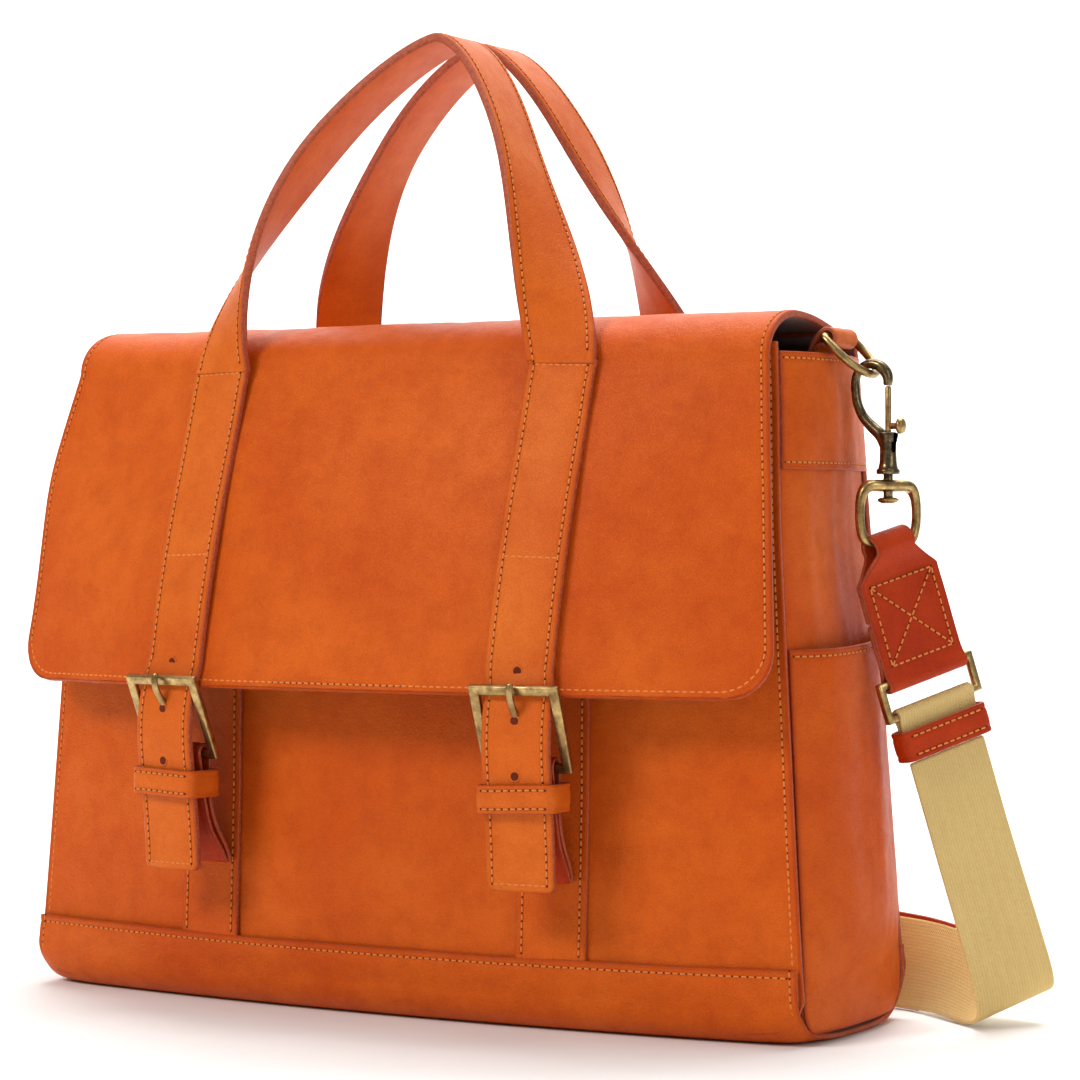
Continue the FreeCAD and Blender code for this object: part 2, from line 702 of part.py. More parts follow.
def make_bolt(axis_x, centre):
    """The sliding bolt that closes the hook's mouth, and its spring in the shank."""
    high, low = size("shank_top"), size("shank_low")
    tip = centre.z + size("hook_radius") * math.sin(math.radians(10)) - 2.9
    tail = low + 3 + size("bolt_travel") + 3.4
    pin = rod("bolt_pin", (axis_x, centre.y, tail), (axis_x, centre.y, tip), "bolt_radius")
    knob = rod("bolt_knob", (axis_x, centre.y, high + 1.4), (axis_x + 7.4, centre.y, high + 1.4), 1.9)
    cap = ball("bolt_cap", (axis_x + 7.4, centre.y, high + 1.4), 2.5)
    pair(fused("bolt_fuse", [pin, knob, cap]), "snap_bolt")
    coil = rod("coil", (axis_x, centre.y, low + 3.2), (axis_x, centre.y, tail - 0.2), 1.4)
    core = rod("coil_core", (axis_x, centre.y, low), (axis_x, centre.y, tail + 2), 0.9)
    pair(cut_from("coil_cut", coil, core), "bolt_spring")


def make_eye(axis_x, axis_y):
    """The swivel eye: a flat bar on the hook's stem and a round bow below it."""
    top, low = size("eye_top"), size("eye_low")
    half = (size("eye_width") - size("eye_wire")) / 2
    points = [(-half + 3, top - 4), (-half, top - 13), (-half, low + 9), (-half + 1.6, low + 3.4), (-11.4, low),
              (11.4, low), (half - 1.6, low + 3.4), (half, low + 9), (half, top - 13), (half - 3, top - 4)]
    bow = bent_wire("eye", [(a, 0, b) for a, b in points], ("eye_wire", 0.5, 0))
    for index, side in enumerate((-1, 1)):
        bow.append(ball(f"eye_end{index}", (side * (half - 3), 0, top - 4), ("eye_wire", 0.5, 0)))
    bar = box("eye_bar", (("eye_width", 1, -8), 9, 5), (("eye_width", -0.5, 4), -4.5, top - 5.4))
    whole = fused("eye_whole", bow + [bar])
    bore = rod("eye_bore", (0, 0, top - 12), (0, 0, top + 4), 2.1)
    eye = cut_from("eye_cut", whole, bore)
    eye.Placement = Placement(Vector(axis_x, axis_y, 0), Rotation(Vector(0, 0, 1), size("end_turn")))
    pair(eye, "swivel_eye")
    make_strap_end(Vector(axis_x, axis_y, low))


def end_axes():
    """Across the strap, along its face and up along its length, at the right-hand end."""
    turn = math.radians(size("end_turn"))
    slant, lean = math.radians(size("end_slant")), math.radians(size("end_lean"))
    level = Vector(math.cos(turn), math.sin(turn), 0)
    away = Vector(math.sin(turn), -math.cos(turn), 0)
    rise = Vector(0, 0, 1)
    across = level * math.cos(slant) + rise * math.sin(slant)
    up = (rise * math.cos(slant) - level * math.sin(slant)) * math.cos(lean) - away * math.sin(lean)
    face = up.cross(across)
    return across, face, up


def end_place(origin):
    across, face, up = end_axes()
    return Placement(origin, Rotation(across, face, up, "ZXY"))


def make_strap_end(origin):
    """The strap's leather end on the eye, the link below it and the keeper on the webbing."""
    place = end_place(origin)
    half, neck = size("end_width") / 2, size("end_neck") / 2
    length = size("end_length")
    fold = 6.3
    corners = [(-neck, 0), (neck, 0), (neck, -5.5), (half, -14), (half, -length), (-half, -length), (-half, -14),
               (-neck, -5.5)]
    leaf = padded_body("end_leaf", "XZ_Plane", corners, 5)
    loop = rod("end_loop", (-neck, 0, 0), (neck, 0, 0), fold)
    foot = rod("end_foot", (-half, 0, -length), (half, 0, -length), 4.2)
    bores = [rod("end_bore", (-40, 0, 0), (40, 0, 0), 4.75),
             rod("foot_bore", (-40, 0, -length), (40, 0, -length), ("link_bar", 0.5, 0.6))]
    whole = cut_from("end_cut", fused("end_whole", [leaf, loop, foot]), fused("end_bores", bores))
    whole.Placement = place
    pair(whole, "strap_end")
    wide = size("link_width") / 2 - size("link_bar") / 2
    low = -length - size("link_height") + size("link_bar")
    points = [(-wide, 0, -length), (wide, 0, -length), (wide, 0, low), (-wide, 0, low)]
    link = fused("link_fuse", bent_wire("link", points, ("link_bar", 0.5, 0), closed=True))
    link.Placement = place
    pair(link, "strap_link")
    make_webbing(place, low)


def make_webbing(place, low):
    """The webbing: from each link down to the ground, then on its edge behind the bag."""
    across, face, up = end_axes()
    width, thick = size("end_width") - 1, size("webbing_thickness")
    fold_length, fold_depth = size("fold_length"), size("fold_depth")
    leaf = box("web_leaf", (width, fold_depth, fold_length), (-width / 2, -fold_depth / 2, low - fold_length))
    fold = fused("web_top", [leaf,
                             rod("web_loop", (-width / 2, 0, low), (width / 2, 0, low), 3.6)])
    bore = rod("web_bore", (-40, 0, low), (40, 0, low), ("link_bar", 0.5, 0.6))
    head = cut_from("web_cut", fold, bore)
    head.Placement = place
    pair(head, "webbing_fold")
    half, height = size("end_width") / 2, size("web_keeper_height")
    base = low - size("web_keeper_down")
    outer = box("web_keeper_outer", (2 * half + 3, 9.4, height), (-half - 1.5, -4.7, base))
    inner = box("web_keeper_inner", (2 * half + 0.4, 5.2, height + 8), (-half - 0.2, -2.6, base - 4))
    keeper = cut_from("web_keeper_cut", outer, inner)
    keeper.Placement = place
    pair(keeper, "webbing_keeper")
    start = place.Base + up * (low - fold_length - 0.4)
    route = [start, place.Base + up * (low - 50), place.Base + up * (low - 82), Vector(250, 45, 20),
             Vector(248.5, 50.5, 10), Vector(240, 57, 6.9), Vector(225, 66, 13), Vector(207, 75, 18),
             Vector(185, 80, 20), Vector(160, 80, 20.5)]
    looks = [-face, -face, -face, Vector(0.85, -0.42, -0.3), Vector(0.55, -0.1, -0.8),
             Vector(0.09, 0.26, -0.94), Vector(0.16, 0.57, -0.79), Vector(0.18, 0.81, -0.5),
             Vector(0.05, 0.95, -0.3), Vector(0, 1, 0)]
    side = ribbon_solid(route, looks, width, thick, (up * -1, Vector(-1, 0, 0)))
    pair(side, "webbing_side")
    back = [Vector(x, 80, 20.5) for x in spread(-158.8, 158.8, 7)]
    level = Vector(1, 0, 0)
    keep(ribbon_solid(back, [Vector(0, 1, 0)] * 7, width, thick, (level, level)), "webbing_back")


# ---------------------------------------------------------------- the whole bag

make_base()
make_panels()
make_gussets()
make_flap()
make_flap_straps()
make_strips()
make_chape()
make_frame()
make_prong()
make_keeper()
make_handles()
make_tab()
make_ring()
make_hook()
doc.recompute()

for item in doc.Objects:
    if "Invalid" in item.State or "Error" in item.State:
        raise RuntimeError(f"{item.Label} failed: {item.State}")
for item in subparts:
    if item.Shape.isNull() or not item.Shape.isValid():
        raise RuntimeError(f"{item.Label} has no valid shape")

os.makedirs("parts", exist_ok=True)
for item in subparts:
    item.Shape.exportStep(os.path.join("parts", item.Label + ".step"))
print(len(subparts), "sub-parts written")
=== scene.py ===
import math

import bmesh
import bpy
import numpy as np
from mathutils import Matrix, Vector, noise


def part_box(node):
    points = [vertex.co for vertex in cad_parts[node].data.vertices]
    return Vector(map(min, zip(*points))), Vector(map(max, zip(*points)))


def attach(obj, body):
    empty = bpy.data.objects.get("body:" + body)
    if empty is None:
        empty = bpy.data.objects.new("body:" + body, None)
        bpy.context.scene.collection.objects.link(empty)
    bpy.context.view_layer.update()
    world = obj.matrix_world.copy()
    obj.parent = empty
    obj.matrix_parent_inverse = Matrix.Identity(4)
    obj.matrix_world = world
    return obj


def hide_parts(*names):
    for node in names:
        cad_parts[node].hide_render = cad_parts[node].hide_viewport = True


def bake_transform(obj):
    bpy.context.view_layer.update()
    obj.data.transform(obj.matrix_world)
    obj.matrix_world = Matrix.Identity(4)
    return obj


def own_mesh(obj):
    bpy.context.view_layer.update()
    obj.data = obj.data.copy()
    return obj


# A soft leather briefcase. Shapes are worked out in millimetres, in the frame's own axes, and
# scaled to metres when a mesh is made: +Z is up, -Y is the front, and the side called right is +X.

MM = 0.001
SIDES = {"right": 1, "left": -1}

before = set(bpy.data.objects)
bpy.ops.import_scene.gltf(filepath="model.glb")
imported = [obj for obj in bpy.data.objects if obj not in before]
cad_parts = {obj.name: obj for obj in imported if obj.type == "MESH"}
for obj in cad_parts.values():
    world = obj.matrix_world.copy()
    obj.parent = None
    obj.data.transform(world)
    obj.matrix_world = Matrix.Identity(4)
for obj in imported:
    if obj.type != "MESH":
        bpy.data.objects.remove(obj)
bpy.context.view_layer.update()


def corner(node, which):
    return Vector(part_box(node)[which]) / MM


# the bag
BASE_WIDTH, TOP_WIDTH, BODY_HEIGHT = 396, 358, corner("front_panel", 1).z
BASE_DEPTH, TOP_DEPTH = 101, 84
FRONT_CROWN, BASE_CROWN, TOP_CROWN, BACK_CROWN = 19, 5, 12, 4
TOP_RECESS, RECESS_LOW = 4.5, 200
BASE_HEIGHT, BASE_SAG, BAND_LIFT = 32, 0.8, 3.4
FRONT_RADIUS, BACK_RADIUS = 16, 24
LEATHER = 3
# how deep and wide a row of stitches presses into the leather, and how far a rim's shade reaches
GROOVE_DEPTH, GROOVE_WIDTH, RIM_SHADE = 0.38, 0.75, 1.6
# gussets
GUSSET_BULGE, BAND_LOW, BAND_HIGH = 6, 236.3, 285.2
POCKET_TOP, POCKET_RISE, POCKET_SAG = 162, 6, 1.5
# flap
FLAP_BOTTOM, FLAP_LOW, FLAP_LOW_WIDTH, FLAP_TOP_WIDTH = 142.5, 153, 386, 356
FLAP_LOW_DEPTH, FLAP_LOW_CROWN, FLAP_TOP_CROWN, FLAP_TOP_DEPTH = 67.5, 28, 13, 42.8
SHOULDER, FLAP_TOP, PEAK_Y, HINGE_Y, HINGE_Z = 283, 303, -16, 36.4, 293
FLAP_CORNER, SEAM, TRIM_SEAM, PITCH = 20, 3.1, 2.6, 3.3
# closures
STRAP_X, CLOSURE_Y, STRAP_TURN, STRAP_WIDTH, STRAP = 88, -80, math.radians(6), 31, 3.5
ANCHOR_LOW, TIP_LOW, HEEL, TOE, FRAME_WIDTH = 199, 62, (-5.5, 113), (-19.5, 145.4), 40.5
STRIP_WIDTH, STRIP_HIGH, KEEPER_HEIGHT = 32.6, 150, 100.5
# handles
HANDLE_RISE, HANDLE_POWER, TWIST_LENGTH, HANDLE = 145, 2 / 1.5, 120, 4
HANDLE_LEAN, HANDLE_SWAY = 6.5, 22
FRONT_FOOT, FRONT_APEX, REAR_FOOT, REAR_APEX = -56.6, -13.5, 47, 22
# shoulder strap hardware, on the right
RING_BAR = Vector((186.5, 6, 292))
RING_TILT, RING_DEPTH, RING_HALF, RING_WIRE = math.radians(45), 22, 14.5, 1.8
HOOK_TOP = RING_BAR + Vector((math.sin(RING_TILT), 0, -math.cos(RING_TILT))) * RING_DEPTH
HOOK_CENTRE = HOOK_TOP + Vector((0, 0, -3.1))
HOOK_RADIUS, SHANK_TOP, SHANK_LOW, EYE_TOP, EYE_LOW = 7.5, 252, 234.5, 232.5, 205
AXIS_X = HOOK_CENTRE.x + HOOK_RADIUS
EYE_TURN, SLANT, LEAN = math.radians(61.4), math.radians(16), math.radians(5)
END_WIDTH, END_LENGTH, LINK_WIDTH, LINK_LOW = 41.5, 55.5, 51, -70
KEEPER_DOWN = 12.4
WEBBING_WIDTH, WEBBING = 40, 2


# ---------------------------------------------------------------- materials

def node(tree, kind, settings=None, **inputs):
    """Adds a shader node; an input given as a socket is linked, anything else is its value."""
    item = tree.nodes.new(kind)
    for key, value in (settings or {}).items():
        setattr(item, key, value)
    for key, value in inputs.items():
        feed(tree, item.inputs[key.replace("_", " ")], value)
    return item


def feed(tree, socket, value):
    """Links a socket to the value, or sets it."""
    if isinstance(value, bpy.types.NodeSocket):
        tree.links.new(value, socket)
    else:
        socket.default_value = value


def new_material(name, **inputs):
    """A material, its node tree and its place coordinates. Inputs are plain shader values."""
    made = bpy.data.materials.new(name)
    made.use_nodes = True
    tree = made.node_tree
    shade(made, **inputs)
    return made, tree, node(tree, "ShaderNodeTexCoord").outputs["Object"]


def shade(made, **inputs):
    """Feeds the material's shader: an underscore stands for a space."""
    shader = made.node_tree.nodes["Principled BSDF"]
    for key, value in inputs.items():
        feed(made.node_tree, shader.inputs[key.replace("_", " ")], value)


def mixed(tree, factor, first, second, mode="MIX"):
    """The colour between two colours, or their blend in another mode."""
    item = tree.nodes.new("ShaderNodeMix")
    item.data_type = "RGBA"
    item.blend_type = mode
    for number, value in ((0, factor), (6, first), (7, second)):
        feed(tree, item.inputs[number], value)
    return item.outputs[2]


def maths(tree, operation, first, second=0.0):
    item = tree.nodes.new("ShaderNodeMath")
    item.operation = operation
    for socket, value in zip(item.inputs, (first, second)):
        feed(tree, socket, value)
    return item.outputs[0]


def scaled(tree, value, low, high, to_low, to_high):
    item = node(tree, "ShaderNodeMapRange", None, Value=value, From_Min=low, From_Max=high)
    item.inputs["To Min"].default_value = to_low
    item.inputs["To Max"].default_value = to_high
    return item.outputs[0]


def noise_at(tree, place, scale, detail=3.0, roughness=0.5, distortion=0.0):
    item = node(tree, "ShaderNodeTexNoise", None, Vector=place, Scale=scale, Detail=detail,
                Roughness=roughness, Distortion=distortion)
    return item.outputs["Fac"]


def bumped(tree, height, distance, strength=1.0, below=None):
    item = node(tree, "ShaderNodeBump", None, Height=height, Distance=distance, Strength=strength)
    if below is not None:
        tree.links.new(below, item.inputs["Normal"])
    return item.outputs[0]


def leather(name, light, middle, dark, roughness=0.42, grain=1.0):
    """Waxed full-grain leather: clouds of colour, pores, creases, faint scratches, darker rims."""
    made, tree, place = new_material(name, Specular_IOR_Level=0.12, Coat_Weight=0.02, Coat_Roughness=0.35)
    clouds = noise_at(tree, place, 13, 3, 0.55)
    mottling = noise_at(tree, place, 85, 6, 0.68)
    creases = noise_at(tree, place, 330, 5, 0.6, 1.4)
    pores = node(tree, "ShaderNodeTexVoronoi", {"feature": "DISTANCE_TO_EDGE"}, Vector=place, Scale=820)
    pits = scaled(tree, pores.outputs[0], 0.0, 0.16, 0.0, 1.0)
    colour = mixed(tree, scaled(tree, clouds, 0.34, 0.66, 0, 1), middle, light)
    colour = mixed(tree, scaled(tree, mottling, 0.42, 0.78, 0, 0.36), colour, dark)
    speckle = mixed(tree, pits, (0.83, 0.8, 0.78, 1), (1, 1, 1, 1))
    colour = mixed(tree, 0.75, colour, speckle, "MULTIPLY")
    streaks = node(tree, "ShaderNodeMapping", None, Vector=place, Rotation=(0.3, 0.9, 0.5),
                   Scale=(9, 240, 60))
    scratch = scaled(tree, noise_at(tree, streaks.outputs[0], 1.0, 3, 0.6), 0.67, 0.73, 0, 0.3)
    colour = mixed(tree, scratch, colour, light)
    rim = node(tree, "ShaderNodeAttribute", {"attribute_name": "edge"}).outputs["Fac"]
    colour = mixed(tree, maths(tree, "MULTIPLY", rim, 0.5), colour, dark)
    normal = bumped(tree, creases, 0.00055 * grain, 0.62)
    normal = bumped(tree, pits, 0.00012 * grain, 0.7, normal)
    normal = bumped(tree, mottling, 0.0009 * grain, 0.35, normal)
    gloss = scaled(tree, mottling, 0.25, 0.75, roughness - 0.07, roughness + 0.1)
    shade(made, Base_Color=colour, Roughness=gloss, Normal=normal)
    return made


def cut_edge():
    """The burnished cut edge of the leather."""
    made, tree, place = new_material("leather_cut_edge", Roughness=0.55)
    fibre = noise_at(tree, place, 700, 6, 0.7)
    share = scaled(tree, fibre, 0.3, 0.7, 0, 1)
    shade(made, Base_Color=mixed(tree, share, (0.24, 0.022, 0.006, 1), (0.52, 0.11, 0.035, 1)),
          Normal=bumped(tree, fibre, 0.0002, 0.8))
    return made


def suede(name, first, second):
    """The flesh side of the leather, and the lining."""
    made, tree, place = new_material(name, Roughness=0.9, Sheen_Weight=0.25)
    nap = noise_at(tree, place, 1400, 6, 0.75)
    patches = noise_at(tree, place, 40, 4, 0.6)
    shade(made, Base_Color=mixed(tree, maths(tree, "MULTIPLY", nap, patches), first, second),
          Normal=bumped(tree, nap, 0.00025, 0.7))
    return made


def brass(name):
    """Antiqued brass: worn gold over a dark patina, with fine scratches."""
    made, tree, place = new_material(name, Metallic=1.0)
    wear = noise_at(tree, place, 170, 6, 0.7)
    fine = noise_at(tree, place, 1500, 4, 0.6)
    worn = scaled(tree, wear, 0.36, 0.66, 0, 1)
    colour = mixed(tree, worn, (0.19, 0.115, 0.045, 1), (0.60, 0.42, 0.17, 1))
    colour = mixed(tree, scaled(tree, fine, 0.55, 0.8, 0, 0.5), colour, (0.10, 0.065, 0.03, 1))
    shade(made, Base_Color=colour, Roughness=scaled(tree, wear, 0.3, 0.7, 0.42, 0.24),
          Normal=bumped(tree, fine, 0.00005, 0.5))
    return made


def dark_brass():
    """The hooks' brass, mostly patina."""
    made, tree, place = new_material("dark_brass", Metallic=1.0)
    wear = noise_at(tree, place, 260, 6, 0.7)
    share = scaled(tree, wear, 0.4, 0.72, 0, 1)
    shade(made, Base_Color=mixed(tree, share, (0.075, 0.055, 0.035, 1), (0.34, 0.25, 0.12, 1)),
          Roughness=scaled(tree, wear, 0.3, 0.7, 0.34, 0.2), Normal=bumped(tree, wear, 0.0001, 0.3))
    return made


def webbing():
    """Woven webbing: twill ribs across its width and warp columns along it."""
    made, tree, place = new_material("webbing_twill", Roughness=0.82, Specular_IOR_Level=0.25,
                                     Sheen_Weight=0.08)
    across = node(tree, "ShaderNodeUVMap").outputs[0]
    split = node(tree, "ShaderNodeSeparateXYZ", None, Vector=across)
    wide, long_way = split.outputs[0], split.outputs[1]
    warp = maths(tree, "SINE", maths(tree, "MULTIPLY", wide, 2 * math.pi / 0.15))
    slanted = maths(tree, "ADD", long_way, maths(tree, "PINGPONG", wide, 0.3))
    twill = maths(tree, "SINE", maths(tree, "MULTIPLY", slanted, 2 * math.pi / 0.1))
    weave = maths(tree, "ADD", maths(tree, "MULTIPLY", warp, 0.35), maths(tree, "MULTIPLY", twill, 0.65))
    yarn = noise_at(tree, place, 900, 4, 0.7)
    patches = noise_at(tree, place, 30, 3, 0.5)
    colour = mixed(tree, scaled(tree, weave, -1, 1, 0, 1), (0.53, 0.34, 0.10, 1), (0.80, 0.57, 0.22, 1))
    colour = mixed(tree, scaled(tree, yarn, 0.35, 0.7, 0, 0.4), colour, (0.86, 0.68, 0.34, 1))
    colour = mixed(tree, scaled(tree, patches, 0.35, 0.65, 0, 0.25), colour, (0.62, 0.43, 0.16, 1))
    normal = bumped(tree, yarn, 0.0001, 0.4, bumped(tree, weave, 0.00016, 0.8))
    shade(made, Base_Color=colour, Normal=normal)
    return made


def thread(name, first, second, roughness=0.6):
    """Waxed thread, and the painted shade of the needle holes between its stitches."""
    made, tree, place = new_material(name, Roughness=roughness, Specular_IOR_Level=0.2)
    twist = noise_at(tree, place, 1800, 2, 0.5)
    shade(made, Base_Color=mixed(tree, twist, first, second), Normal=bumped(tree, twist, 0.0001, 0.6))
    return made


SKIN = leather("cognac_leather", (0.67, 0.118, 0.006, 1), (0.58, 0.080, 0.002, 1),
               (0.34, 0.024, 0.001, 1))
STRAP_SKIN = leather("strap_leather", (0.71, 0.155, 0.014, 1), (0.63, 0.108, 0.006, 1),
                     (0.40, 0.038, 0.002, 1), 0.42, 0.8)
SMALL_SKIN = leather("trim_leather", (0.52, 0.048, 0.003, 1), (0.42, 0.028, 0.002, 1),
                     (0.20, 0.008, 0.001, 1), 0.4, 0.8)
CUT = cut_edge()
LINING = suede("suede_lining", (0.10, 0.030, 0.014, 1), (0.23, 0.085, 0.040, 1))
BOARD = suede("fibre_board", (0.16, 0.11, 0.07, 1), (0.40, 0.31, 0.21, 1))
BRASS, DARK_BRASS, WIRE = brass("antique_brass"), dark_brass(), brass("spring_wire")
WEAVE = webbing()
THREAD = thread("orange_thread", (0.64, 0.165, 0.03, 1), (0.76, 0.26, 0.06, 1))
# painted shade: a near-black brown for the dark plugs that stand in for the shadow inside needle holes and
# punched holes
HOLE_SHADE = thread("painted_hole_shade", (0.085, 0.012, 0.004, 1), (0.15, 0.022, 0.007, 1), 0.9)


# ---------------------------------------------------------------- mesh making

def make_piece(name, points, faces, body, nodes=(), materials=(SKIN,), kinds=None, edge=None, flat=None):
    """One mesh from points in mm. kinds gives each face's material, edge a shade along the rims."""
    mesh = bpy.data.meshes.new(name)
    mesh.from_pydata([tuple(p) for p in np.asarray(points) * MM], [], faces)
    for item in materials:
        mesh.materials.append(item)
    if kinds is not None:
        mesh.polygons.foreach_set("material_index", kinds)
    if edge is not None:
        layer = mesh.attributes.new("edge", "FLOAT", "POINT")
        layer.data.foreach_set("value", np.asarray(edge, dtype=np.float32))
    if flat is not None:
        layer = mesh.uv_layers.new(name="UVMap")
        loops = np.empty(len(mesh.loops), dtype=np.int32)
        mesh.loops.foreach_get("vertex_index", loops)
        layer.data.foreach_set("uv", (np.asarray(flat)[loops] / 10).astype(np.float32).ravel())
    work = bmesh.new()
    work.from_mesh(mesh)
    bmesh.ops.recalc_face_normals(work, faces=work.faces)
    for face in work.faces:
        face.smooth = True
    work.to_mesh(mesh)
    work.free()
    piece = bpy.data.objects.new(name, mesh)
    bpy.context.scene.collection.objects.link(piece)
    if body:
        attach(piece, body)
    if nodes:
        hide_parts(*nodes)
    return piece


def unit(rows):
    return rows / np.maximum(np.linalg.norm(rows, axis=-1, keepdims=True), 1e-9)


def steps(low, high, middle, fine=(0, 1.5, 2.4, 3.1, 3.8, 5.0, 7.5)):
    """Places from low to high: close together near both ends, middle equal cells in between."""
    inner = np.linspace(low + fine[-1], high - fine[-1], middle + 1)[1:-1]
    return [low + f for f in fine] + list(inner) + [high - f for f in reversed(fine)]


def wall(count, size, closed=False):
    """The four-sided faces between count rings of size points."""
    faces = []
    for k in range(count if closed else count - 1):
        n = (k + 1) % count
        for j in range(size):
            m = (j + 1) % size
            faces.append((k * size + j, k * size + m, n * size + m, n * size + j))
    return faces


def caps(count, size):
    return [tuple(range(size)), tuple(range((count - 1) * size, count * size))]


def rim_loop(height, width):
    """Grid places (row, column) once round the border."""
    top = [(0, j) for j in range(width)]
    right = [(i, width - 1) for i in range(1, height)]
    low = [(height - 1, j) for j in range(width - 2, -1, -1)]
    left = [(i, 0) for i in range(height - 2, 0, -1)]
    return top + right + low + left


def grid_distances(grid):
    """Distance of each point to the first row, last row, first column and last column."""
    down = np.linalg.norm(np.diff(grid, axis=0), axis=-1)
    along = np.linalg.norm(np.diff(grid, axis=1), axis=-1)
    from_top = np.vstack([np.zeros(grid.shape[1]), np.cumsum(down, axis=0)])
    from_left = np.hstack([np.zeros((grid.shape[0], 1)), np.cumsum(along, axis=1)])
    return from_top, from_top[-1] - from_top, from_left, from_left[:, -1:] - from_left


def grooved(grid, normal, distances, seams):
    """The grid with a shallow groove pressed in where each row of stitches runs."""
    for away, seam in zip(distances, seams):
        if seam:
            grid = grid - normal * (GROOVE_DEPTH * np.exp(-((away - seam) / GROOVE_WIDTH) ** 2))[..., None]
    return grid


def rim_rings(rim, normal, side, thickness, radius):
    """Rings of points that round the rim off, from the face to the back."""
    rings = []
    for turn, depth in ((30, 0), (60, 0), (90, 0), (None, 0), (90, 1), (60, 1), (30, 1)):
        if turn is None:
            rings.append(rim - side * 0.12 - normal * thickness / 2)
            continue
        angle = math.radians(turn)
        drop = radius * (1 - math.cos(angle))
        drop = thickness - drop if depth else drop
        rings.append(rim - side * radius * (1 - math.sin(angle)) - normal * drop)
    return rings


def sheet_faces(height, width, loop, ring_count):
    """Faces of both sides and of the rim, and which material each has."""
    count, around = height * width, len(loop)
    faces, kinds = [], []
    for i in range(height - 1):
        for j in range(width - 1):
            a = i * width + j
            faces.append((a, a + 1, a + width + 1, a + width))
            faces.append((count + a, count + a + width, count + a + width + 1, count + a + 1))
            kinds += [0, 2]
    starts = [[i * width + j for i, j in loop]]
    starts += [[2 * count + r * around + k for k in range(around)] for r in range(ring_count)]
    starts.append([count + i * width + j for i, j in loop])
    for level, (first, second) in enumerate(zip(starts, starts[1:])):
        for k in range(around):
            n = (k + 1) % around
            faces.append((first[k], first[n], second[n], second[k]))
            kinds.append(0 if level < 2 else 1)
    return faces, kinds


def sheet(name, rows, outward, body, nodes=(), thickness=LEATHER, seams=(0, 0, 0, 0),
          materials=(SKIN, CUT, LINING)):
    """A sheet of leather with rounded rims. rows hold points of its outer face; seams are the
    distances of the stitched grooves from the first row, last row, first column and last column."""
    grid = np.array([[tuple(p) for p in row] for row in rows], dtype=float)
    height, width = grid.shape[:2]
    normal = unit(np.cross(np.gradient(grid, axis=1), np.gradient(grid, axis=0)))
    if normal[height // 2, width // 2] @ np.array(outward) < 0:
        normal = -normal
    distances = grid_distances(grid)
    grid = grooved(grid, normal, distances, seams)
    loop = rim_loop(height, width)
    rows_of, cols_of = [i for i, j in loop], [j for i, j in loop]
    rim, rim_normal = grid[rows_of, cols_of], normal[rows_of, cols_of]
    inside = grid[np.clip(rows_of, 1, height - 2), np.clip(cols_of, 1, width - 2)]
    side = unit(np.cross(np.roll(rim, -1, axis=0) - np.roll(rim, 1, axis=0), rim_normal))
    side = side * np.where(np.sum(side * (rim - inside), axis=1) < 0, -1, 1)[:, None]
    radius = min(0.9, thickness * 0.36)
    outer = grid.copy()
    outer[rows_of, cols_of] = rim - side * radius
    inner = outer - normal * thickness
    rings = rim_rings(rim, rim_normal, side, thickness, radius)
    points = np.vstack([outer.reshape(-1, 3), inner.reshape(-1, 3)] + rings)
    faces, kinds = sheet_faces(height, width, loop, len(rings))
    near_rim = np.exp(-np.minimum.reduce(distances) / RIM_SHADE).ravel()
    edge = np.concatenate([near_rim, np.zeros(height * width), np.ones(len(loop) * len(rings))])
    return make_piece(name, points, faces, body, nodes, materials, kinds, edge)


def curve_through(points, count):
    """A smooth line through the points (Catmull-Rom), count places per span."""
    points = [Vector(p) for p in points]
    line = []
    for k in range(len(points) - 1):
        before, start, end = points[max(k - 1, 0)], points[k], points[k + 1]
        after = points[min(k + 2, len(points) - 1)]
        for step in range(count):
            t = step / count
            bend = 2 * before - 5 * start + 4 * end - after
            swing = 3 * start - before - 3 * end + after
            line.append(0.5 * ((2 * start) + (end - before) * t + bend * t * t + swing * t ** 3))
    line.append(points[-1])
    return line


def lengths_of(line):
    gaps = np.linalg.norm(np.diff(np.array([tuple(p) for p in line]), axis=0), axis=1)
    return np.concatenate([[0], np.cumsum(gaps)])


def sampled(line, places):
    """Points of a line of vectors at the given lengths along it."""
    values = np.array([tuple(p) for p in line])
    done = lengths_of(line)
    return np.stack([np.interp(places, done, values[:, c]) for c in range(3)], axis=1)


def round_off(radius, away):
    """How far a round corner draws in, at a distance from its end."""
    return radius - math.sqrt(max(radius ** 2 - (radius - away) ** 2, 0))


def strap_section(half, thickness, seam, crown):
    """The outline of a strap's section, across and out: (points, face kinds)."""
    radius = min(thickness * 0.38, 1.2)
    inset = [radius, radius + 1.2]
    if seam:
        inset = [radius, radius + 0.6, seam - 0.7, seam, seam + 0.7, seam + 1.8]
    inset = sorted(value for value in inset if radius <= value < half - 0.6)
    across = [value - half for value in inset] + [half - value for value in reversed(inset)]
    points, kinds = [], []
    for c in across:
        dip = 0.35 * math.exp(-(((half - abs(c)) - seam) / 0.7) ** 2) if seam else 0
        points.append((c, thickness / 2 + crown * (1 - (c / half) ** 2) - dip))
        kinds.append(0)
    side = [(half - radius * 0.3, thickness / 2 - radius * 0.3), (half, thickness / 2 - radius),
            (half - 0.18, 0), (half, radius - thickness / 2),
            (half - radius * 0.3, radius * 0.3 - thickness / 2)]
    points += side
    kinds += [1] * len(side)
    points += [(half - radius, -thickness / 2), (0, -thickness / 2), (radius - half, -thickness / 2)]
    kinds += [0, 0, 1]
    points += [(-c, n) for c, n in reversed(side)]
    kinds += [1] * (len(side) - 1) + [0]
    kinds[len(across) - 1] = 0
    return points, kinds


